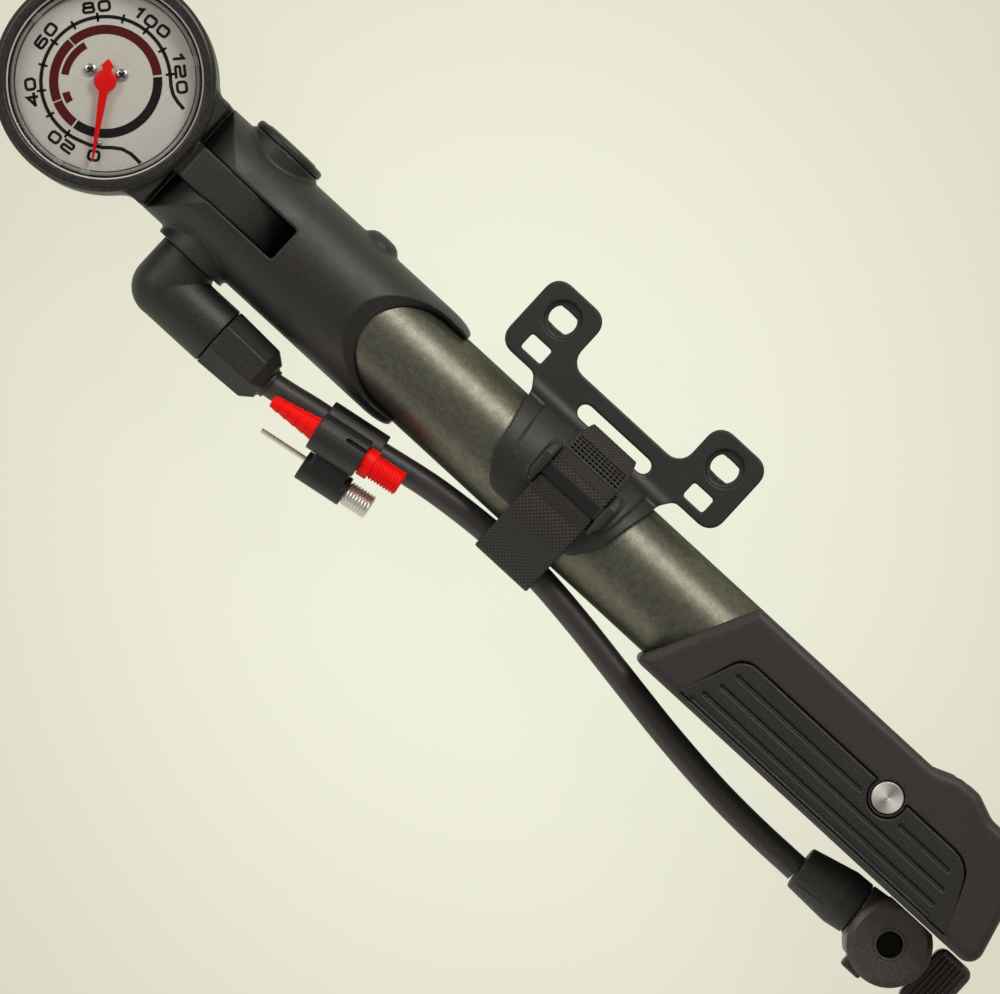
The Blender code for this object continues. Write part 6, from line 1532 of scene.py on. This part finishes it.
def panel_outline(low, high, shrink):
    """The soft panel seen from above, drawn in on every side."""
    return rounded_mixed([
        (PANEL_FRONT[0] + shrink, low, 0), (PANEL_FRONT[1] + shrink, high - shrink, PANEL_ROUNDING[0]),
        (PANEL_END[1] - shrink, high - shrink, PANEL_ROUNDING[1]), (PANEL_END[0] - shrink, low, 0)])


def front_cuts(handle, back, deep):
    """What is cut ahead of the handle's slanted front rim, the wedges that slant its faces, and its corner."""
    start = Vector((handle.front_grip, back, 0))
    end = Vector((handle.front_open, handle.open_side, 0))
    along = end - start
    spin = math.atan2(along.y, along.x)
    slope = handle.rim_drop / handle.rim_width
    reach = along.length
    tools = [prism("front_cut", [[(0, -2 * deep), (reach, -2 * deep), (reach, 2 * deep), (0, 2 * deep)]],
                   -2 * reach, 2 * reach, FACE_YZ, (start + end) / 2, spin)]
    for side in (1, -1):
        wedge = [(-handle.rim_width, side * deep), (reach, side * (deep - handle.rim_drop - slope * reach)),
                 (reach, side * 2 * deep), (-handle.rim_width, side * 2 * deep)]
        tools.append(prism("rim_face", [wedge], -2 * reach, 2 * reach, FACE_YZ, (start + end) / 2, spin))
    radius = handle.rim_corner
    corner = rounded([(end.x, end.y, 0), (start.x, start.y, radius), (start.x + reach, start.y, 0)], 10, False)
    corner = corner[1:-1] + [(start.x - radius, start.y - radius)]
    tools.append(prism("rim_corner", [corner], -2 * deep, 2 * deep))
    return tools


# Room for the folded barrel: start beside the pin, radius of the sweep and its ends; then the rod's knuckle
FOLD_START = 0.0151
FOLD_SWEEP = (0.0236, 0.69, 3.95)
KNUCKLE_ROOM = 0.0096
# Hinge pin: radius of its shaft, height of its heads, depth of their seats
PIN_SHAFT = 0.0040
PIN_STEP = 0.0012
PIN_SEAT = 0.0015


def build_handle(handle):
    """The channelled handle shell with its soft panels and the steel pin."""
    low, high = node_box("handle_shell")
    deep = high.z
    shell = prism("handle_shell_skin", [handle_outline(handle, low.y, high.x, high.y)], low.z, high.z)
    round_edges(shell, handle.edge, 6)
    cut(shell, *front_cuts(handle, low.y, deep))
    channel = node_box("barrel_tube")[1].y + 0.0012
    wide = 2 * high.y
    bed = prism("bed", [arc((0, 0), channel, math.pi / 2, 3 * math.pi / 2, 64)
                        + [(wide, -channel), (wide, channel)]], 0, handle.pin_x, FACE_YZ)
    panel_low, panel_high = node_box("grip_pad_front")
    x, y, head = handle.pin_x, handle.pin_y, handle.pin_head
    cut(shell, bed,
        rod("fold_bed", channel, (x, y + FOLD_START, 0), (x, 2 * wide, 0)),
        prism("fold_sweep", [arc((x, y), *FOLD_SWEEP, 64) + [(x, y)]], -channel, channel),
        rod("knuckle_room", KNUCKLE_ROOM, (x, y, -channel), (x, y, channel)),
        rod("pin_seat", head + 0.0004, (x, y, deep - PIN_SEAT), (x, y, 2 * deep)),
        rod("pin_seat_back", head + 0.0004, (x, y, PIN_SEAT - deep), (x, y, -2 * deep)))
    edge = low.y - 0.001
    for side in (1, -1):
        panel = prism("panel_bed", [panel_outline(edge, panel_high.y, -handle.panel_gap)],
                      *sorted((side * (panel_low.z - FIT), 2 * side * deep)))
        cut(panel, rod("pin_ring", head + 0.0009, (x, y, -2 * deep), (x, y, 2 * deep)))
        cut(panel, box("back_wall", (0, edge - 0.001, -2 * deep), (1, panel_low.y - handle.panel_gap, 2 * deep)))
        cut(shell, panel)
    finish_piece(mould(shell, 0.00042, 3), "handle_plastic", "handle", "handle_shell",
                 sharp=0)
    for node, side in (("grip_pad_front", 1), ("grip_pad_back", -1)):
        pad = prism(node + "_skin",
                    [panel_outline(panel_low.y + handle.panel_gap, panel_high.y, handle.panel_gap)],
                    *sorted((side * panel_low.z, side * deep)))
        levels = sorted((side * (deep - handle.groove_depth), side * 2 * deep))
        tools = [prism("groove", [oblong(((start + end) / 2, level), end - start, handle.groove_width)], *levels)
                 for level, start, end in GROOVES]
        cut(pad, rod("pin_room", head + 0.0014, (x, y, -2 * deep), (x, y, 2 * deep)), *tools)
        finish_piece(mould(pad, 0.00028, 3), "grip_rubber", "handle", node, sharp=0)

    low, high = node_box("handle_pin")
    under, over = high.z - PIN_STEP, low.z + PIN_STEP
    profile = rounded([(0, high.z - 0.0002, 0), (0.0006, high.z - 0.0002, 0.0001),
                       (0.0008, high.z - 0.00005, 0.0001), (head, high.z, 0.0005), (head, under, 0.0001),
                       (PIN_SHAFT, under, 0), (PIN_SHAFT, over, 0), (head, over, 0.0001),
                       (head, low.z, 0.0004), (0, low.z, 0)], closed=False)
    pin = revolve("handle_pin_skin", profile, ALONG_Z, (x, y, 0))
    finish_piece(pin, "pin_steel", "handle", "handle_pin")


# Corners of the lug on the chuck's body, from the chuck's middle
CHUCK_LUG = ((-0.0066, -0.0138, -0.0030), (0.0004, -0.0090, 0.0030))
# Gasket under the chuck's mouth: its radius, its dip, half length and half width of its slits, and their depth
GASKET_RADIUS = 0.0062
GASKET_DIP = 0.0008
SLIT = (0.0012, 0.00012)
SLIT_DEPTH = 0.0016
# Raised mark on the sleeve: its ends from the sleeve's start, and its radius
SLEEVE_MARK = (Vector((0.0020, -0.0045, 0.0050)), Vector((0.0115, -0.0036, 0.0066)))
MARK_RADIUS = 0.0004


def build_chuck(chuck):
    """The lever chuck on the end of the hose."""
    x, y = chuck.x, chuck.y
    body = node_copy("chuck_body_skin", "chuck_body")
    lug = box("lug", *((x + a, y + b, c) for a, b, c in CHUCK_LUG))
    join(body, round_edges(lug, 0.0008, 2))
    # The chuck's body takes the lightened plastic: painted light where the handle shades it
    finish_piece(mould(body, 0.00030, 3), "chuck_plastic", "chuck", "chuck_body", sharp=0)

    low, high = node_box("chuck_cap")
    top, mouth = high.z, chuck.mouth
    profile = rounded([(mouth, low.z, 0.0001), (mouth, top, 0.0003), (mouth + 0.0008, top, 0.0001),
                       (mouth + 0.0009, top - 0.0002, 0.0001), (mouth + 0.0012, top - 0.0002, 0.0001),
                       (mouth + 0.0013, top, 0.0001), (chuck.radius - chuck.bevel, top, 0.0003),
                       (chuck.radius, top - 0.6 * chuck.bevel, 0.0004), (chuck.radius, low.z, 0.0002)], 5)
    cap = revolve("chuck_cap_skin", profile, ALONG_Z, (x, y, 0), 160, True)
    cut(cap, box("cap_flat", (x - 0.02, y + chuck.flat, -0.02), (x + 0.02, y + 0.03, 0.02)))
    # The cap takes the lightened plastic: painted light where the handle shades it
    finish_piece(cap, "chuck_plastic", "chuck", "chuck_cap")
    low, high = node_box("chuck_gasket")
    profile = [(0, high.z - GASKET_DIP), (mouth - 0.0006, high.z - GASKET_DIP), (mouth, high.z),
               (GASKET_RADIUS, high.z), (GASKET_RADIUS, low.z), (0, low.z)]
    gasket = revolve("chuck_gasket_skin", profile, ALONG_Z, (x, y, 0), 64)
    cut(gasket, *(box("slit", (x - a, y - b, high.z - SLIT_DEPTH), (x + a, y + b, high.z))
                  for a, b in (SLIT, SLIT[::-1])))
    finish_piece(gasket, "dial_black", "chuck", "chuck_gasket")

    start = Vector((chuck.sleeve_start, chuck.sleeve_start_y, HOSE_ROUTE[-1][2]))
    end = Vector((chuck.sleeve_end, chuck.sleeve_end_y, HOSE_ROUTE[-1][2]))
    run = (end - start).length
    turn = (end - start).to_track_quat("Z", "Y").to_matrix().to_4x4()
    profile = rounded([(0, run, 0), (chuck.sleeve_flare - 0.0004, run, 0.0002),
                       (chuck.sleeve_flare, 0.72 * run, 0.003), (chuck.sleeve_neck, 0, 0.0008), (0, 0, 0)],
                      closed=False)
    sleeve = revolve("chuck_sleeve_skin", profile, turn, start)
    join(sleeve, rod("mark", MARK_RADIUS, *(start + point for point in SLEEVE_MARK)))
    # The sleeve takes the handle's lighter plastic: painted light where the handle shades it
    finish_piece(mould(sleeve, 0.00028, 2), "handle_plastic", "chuck", "chuck_sleeve",
                 sharp=0)
    build_lever(chuck)


def build_lever(chuck):
    """The chuck's lever with its ridged pad."""
    low, high = node_box("chuck_lever")
    near, far = chuck.pad_near, chuck.pad_far
    side = (high.y - low.y) / 2
    lever = node_copy("chuck_lever_skin", "chuck_lever")
    more = Vector((0.01, 0.01, 0.01))
    cut(lever, box("old_pad", (near + 0.002, *(low - more).yz), high + more))
    pad = prism("pad", [rounded([(near, chuck.y - side, chuck.pad_corner),
                                 (far, chuck.y - side, chuck.pad_corner),
                                 (far, chuck.y + side, chuck.pad_corner),
                                 (near, chuck.y + side, chuck.pad_corner)])],
                low.z, low.z + 0.0065)
    round_edges(pad, 0.0009, 3)
    count = int((far - near - 0.0036) / chuck.ridge_pitch) + 1
    first = (near + far - (count - 1) * chuck.ridge_pitch) / 2
    tools = []
    for i in range(count):
        groove = oblong((0, 0), 2 * side - 0.0036, 0.0008)
        tools.append(prism("ridge_%d" % i,
                           [[(first + i * chuck.ridge_pitch + b, chuck.y + a) for a, b in groove]],
                           low.z + 0.0057, low.z + 0.02))
    cut(pad, *tools)
    join(lever, pad)
    # The lever takes the lightened plastic: painted light where the handle shades it
    finish_piece(mould(lever, 0.00026, 2), "chuck_plastic", "lever", "chuck_lever",
                 sharp=0)


# Frame of the clip that holds the adapters, and in it the axes of the two adapters
CLIP_TURN = Matrix.Rotation(math.radians(9.5), 4, "Z")
CLIP = Matrix.Translation((-0.0070, -0.0275, 0)) @ CLIP_TURN
BLADDER_AXIS = Vector((0, -0.0039, 0.0102))
NEEDLE_AXIS = Vector((0, -0.0146, 0.0020))
NEEDLE_SHIFT = Vector((0, 0.0017, 0))
# Corners of the slot in the clip's finger
CLIP_SLOT = ((-0.0005, -0.0021, 0.0143), (0.0080, -0.0010, 0.0180))
# The thread of both adapters, and where it starts on each and how many rings it has
THREAD = {"Pitch": 0.00100, "Radius": 0.00350, "Depth": 0.00036}
BLADDER_THREAD = (Vector((0.0108, 0, 0)), 9)
NEEDLE_THREAD = (Vector((0.0081, 0, 0)), 8)
# Profiles along the axes, as radius, place and rounding: the bladder adapter, the needle's body and the needle
BLADDER_BODY = ((0, 0.0195, 0), (0.0034, 0.0195, 0.0004), (0.0034, 0.0100, 0.0001), (0.0045, 0.0100, 0.0004),
                (0.0045, 0.0067, 0.0003), (0.0037, 0.0067, 0.0001))
BLADDER_END = (0, -0.0250, 0)
NEEDLE_BODY = ((0, 0.0157, 0), (0.0034, 0.0157, 0.0003), (0.0034, 0.0075, 0.0001), (0.0030, 0.0075, 0.0001),
               (0.0030, -0.0078, 0.0003), (0, -0.0078, 0))
NEEDLE = ((0.00045, -0.0232, 0.0001), (0.00082, -0.0232, 0.0003), (0.00082, -0.0075, 0.0001),
          (0.00045, -0.0075, 0.0001))
# Barbs of the bladder adapter's nose: how many, first radius, how it falls, first place, pitch, depth
BARBS = 5
BARB_RADIUS, BARB_FALL, BARB_START, BARB_PITCH, BARB_DEPTH = 0.0037, 0.00034, -0.0096, 0.0031, 0.00058


def build_adapters():
    """The clip on the hose with the bladder adapter and the ball needle, both with a thread of stacked rings."""
    make_ring_tree()
    clip = node_copy("adapter_clip_skin", "adapter_clip")
    cut(clip, move(box("finger_slot", *CLIP_SLOT), CLIP))
    finish_piece(mould(clip, 0.00028, 2), "black_plastic", "pump", "adapter_clip", sharp=0)

    turn = CLIP_TURN @ ALONG_X
    nose = []
    for i in range(BARBS):
        root = BARB_RADIUS - BARB_FALL * i
        nose += [(root, BARB_START - BARB_PITCH * i, 0.0003),
                 (root - BARB_DEPTH, BARB_START - BARB_PITCH * (i + 0.92), 0.0002)]
    profile = rounded([*BLADDER_BODY, *nose, BLADDER_END], 5, False)
    body = revolve("bladder_adapter_skin", profile, turn, CLIP @ BLADDER_AXIS, 72)
    start, count = BLADDER_THREAD
    finish_thread(body, "red_plastic", "bladder_adapter", turn, CLIP @ (BLADDER_AXIS + start), count)

    body = revolve("needle_adapter_skin", rounded(NEEDLE_BODY, 5, False), turn, CLIP @ NEEDLE_AXIS, 72)
    join(body, revolve("needle", rounded(NEEDLE, 5), turn, CLIP @ (NEEDLE_AXIS + NEEDLE_SHIFT), 32, True))
    start, count = NEEDLE_THREAD
    finish_thread(body, "nickel", "needle_adapter", turn, CLIP @ (NEEDLE_AXIS + start), count)


def finish_thread(body, material, node, turn, at, count):
    """Give a turned adapter its thread and let it ride in place of its node."""
    thread = grow("ring_stack", "thread", material, turn, at, Count=count, **THREAD)
    piece = merge(body.name, [paint(body, material), thread])
    shade(piece, 40)
    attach(piece, "pump")
    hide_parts(node)


# Nodes that keep their own solid, with the material of each
PLAIN_NODES = {
    "seal_rubber": ("barrel_seal", "elbow_seal", "piston_seal"),
    "brass": ("check_valve", "pivot_axle", "hose_barb", "gauge_socket", "bourdon_tube", "movement_plate",
              "sector_gear"),
    "steel": ("piston_rod", "pointer_staff"),
    "black_plastic": ("piston", "rod_knuckle", "lever_pin"),
}


def paint_nodes():
    """Give the nodes that keep their own solid a material."""
    for material, nodes in PLAIN_NODES.items():
        for node in nodes:
            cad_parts[node].data.materials.clear()
            paint(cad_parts[node], material)


# Operators

class PumpOperator:
    """What the building operators share."""
    bl_options = {"REGISTER", "UNDO"}


class PUMP_OT_stage(PumpOperator, bpy.types.Operator):
    """Set up the camera, the light and the floor, and make the materials."""
    bl_idname = "pump.stage"
    bl_label = "Stage"

    def execute(self, context):
        make_materials(context.scene.pump_finish)
        build_stage(context.scene.pump_stage)
        return {"FINISHED"}


class PUMP_OT_barrel(PumpOperator, bpy.types.Operator):
    """Build the painted barrel and the guide in its end."""
    bl_idname = "pump.barrel"
    bl_label = "Barrel"

    def execute(self, context):
        build_barrel()
        build_guide()
        return {"FINISHED"}


class PUMP_OT_head(PumpOperator, bpy.types.Operator):
    """Build the pump head with its pivot, screw and hose fitting."""
    bl_idname = "pump.head"
    bl_label = "Head"

    def execute(self, context):
        build_head(context.scene.pump_head)
        build_fitting()
        return {"FINISHED"}


class PUMP_OT_gauge(PumpOperator, bpy.types.Operator):
    """Build the gauge case, its lens and the printed dial."""
    bl_idname = "pump.gauge"
    bl_label = "Gauge"

    def execute(self, context):
        build_gauge_case(context.scene.pump_gauge)
        build_dial(context.scene.pump_gauge)
        return {"FINISHED"}


class PUMP_OT_bracket(PumpOperator, bpy.types.Operator):
    """Build the frame bracket and its strap."""
    bl_idname = "pump.bracket"
    bl_label = "Bracket and strap"

    def execute(self, context):
        build_bracket(context.scene.pump_strap)
        build_strap(context.scene.pump_strap)
        return {"FINISHED"}


class PUMP_OT_handle(PumpOperator, bpy.types.Operator):
    """Build the folding handle."""
    bl_idname = "pump.handle"
    bl_label = "Handle"

    def execute(self, context):
        build_handle(context.scene.pump_handle)
        return {"FINISHED"}


class PUMP_OT_hose(PumpOperator, bpy.types.Operator):
    """Build the chuck, the adapters and the hose that carries them."""
    bl_idname = "pump.hose"
    bl_label = "Hose, chuck and adapters"

    def execute(self, context):
        build_chuck(context.scene.pump_chuck)
        build_adapters()
        build_hose(context.scene.pump_hose)
        return {"FINISHED"}


class PUMP_OT_inner(PumpOperator, bpy.types.Operator):
    """Give the inner parts their materials."""
    bl_idname = "pump.inner"
    bl_label = "Inner parts"

    def execute(self, context):
        paint_nodes()
        return {"FINISHED"}


OPERATORS = (PUMP_OT_stage, PUMP_OT_barrel, PUMP_OT_head, PUMP_OT_gauge, PUMP_OT_bracket, PUMP_OT_handle,
             PUMP_OT_hose, PUMP_OT_inner)
SETTINGS = {"pump_finish": PumpFinishSettings, "pump_stage": PumpStageSettings, "pump_hose": PumpHoseSettings,
            "pump_head": PumpHeadSettings, "pump_gauge": PumpGaugeSettings, "pump_handle": PumpHandleSettings,
            "pump_strap": PumpStrapSettings, "pump_chuck": PumpChuckSettings}


class PUMP_PT_panel(bpy.types.Panel):
    """The pump's settings and steps in the sidebar."""
    bl_idname = "PUMP_PT_panel"
    bl_label = "Tyre mini pump"
    bl_space_type = "VIEW_3D"
    bl_region_type = "UI"
    bl_category = "Pump"

    def draw(self, context):
        for operator in OPERATORS:
            self.layout.operator(operator.bl_idname)
        for name, kind in SETTINGS.items():
            column = self.layout.column(heading=kind.__doc__)
            for label in kind.__annotations__:
                column.prop(getattr(context.scene, name), label)


def register():
    """Register the settings, operators and panel."""
    for kind in (*SETTINGS.values(), *OPERATORS, PUMP_PT_panel):
        bpy.utils.register_class(kind)
    for name, kind in SETTINGS.items():
        setattr(bpy.types.Scene, name, bpy.props.PointerProperty(type=kind))


def unregister():
    """Take the settings, operators and panel away again."""
    for name in SETTINGS:
        delattr(bpy.types.Scene, name)
    for kind in reversed((*SETTINGS.values(), *OPERATORS, PUMP_PT_panel)):
        bpy.utils.unregister_class(kind)


def main():
    """Build the whole pump and write down its size beside that of the frame."""
    register()
    bpy.ops.pump.stage()
    bpy.ops.pump.barrel()
    bpy.ops.pump.head()
    bpy.ops.pump.gauge()
    bpy.ops.pump.bracket()
    bpy.ops.pump.handle()
    bpy.ops.pump.hose()
    bpy.ops.pump.inner()


if __name__ == "__main__":
    main()
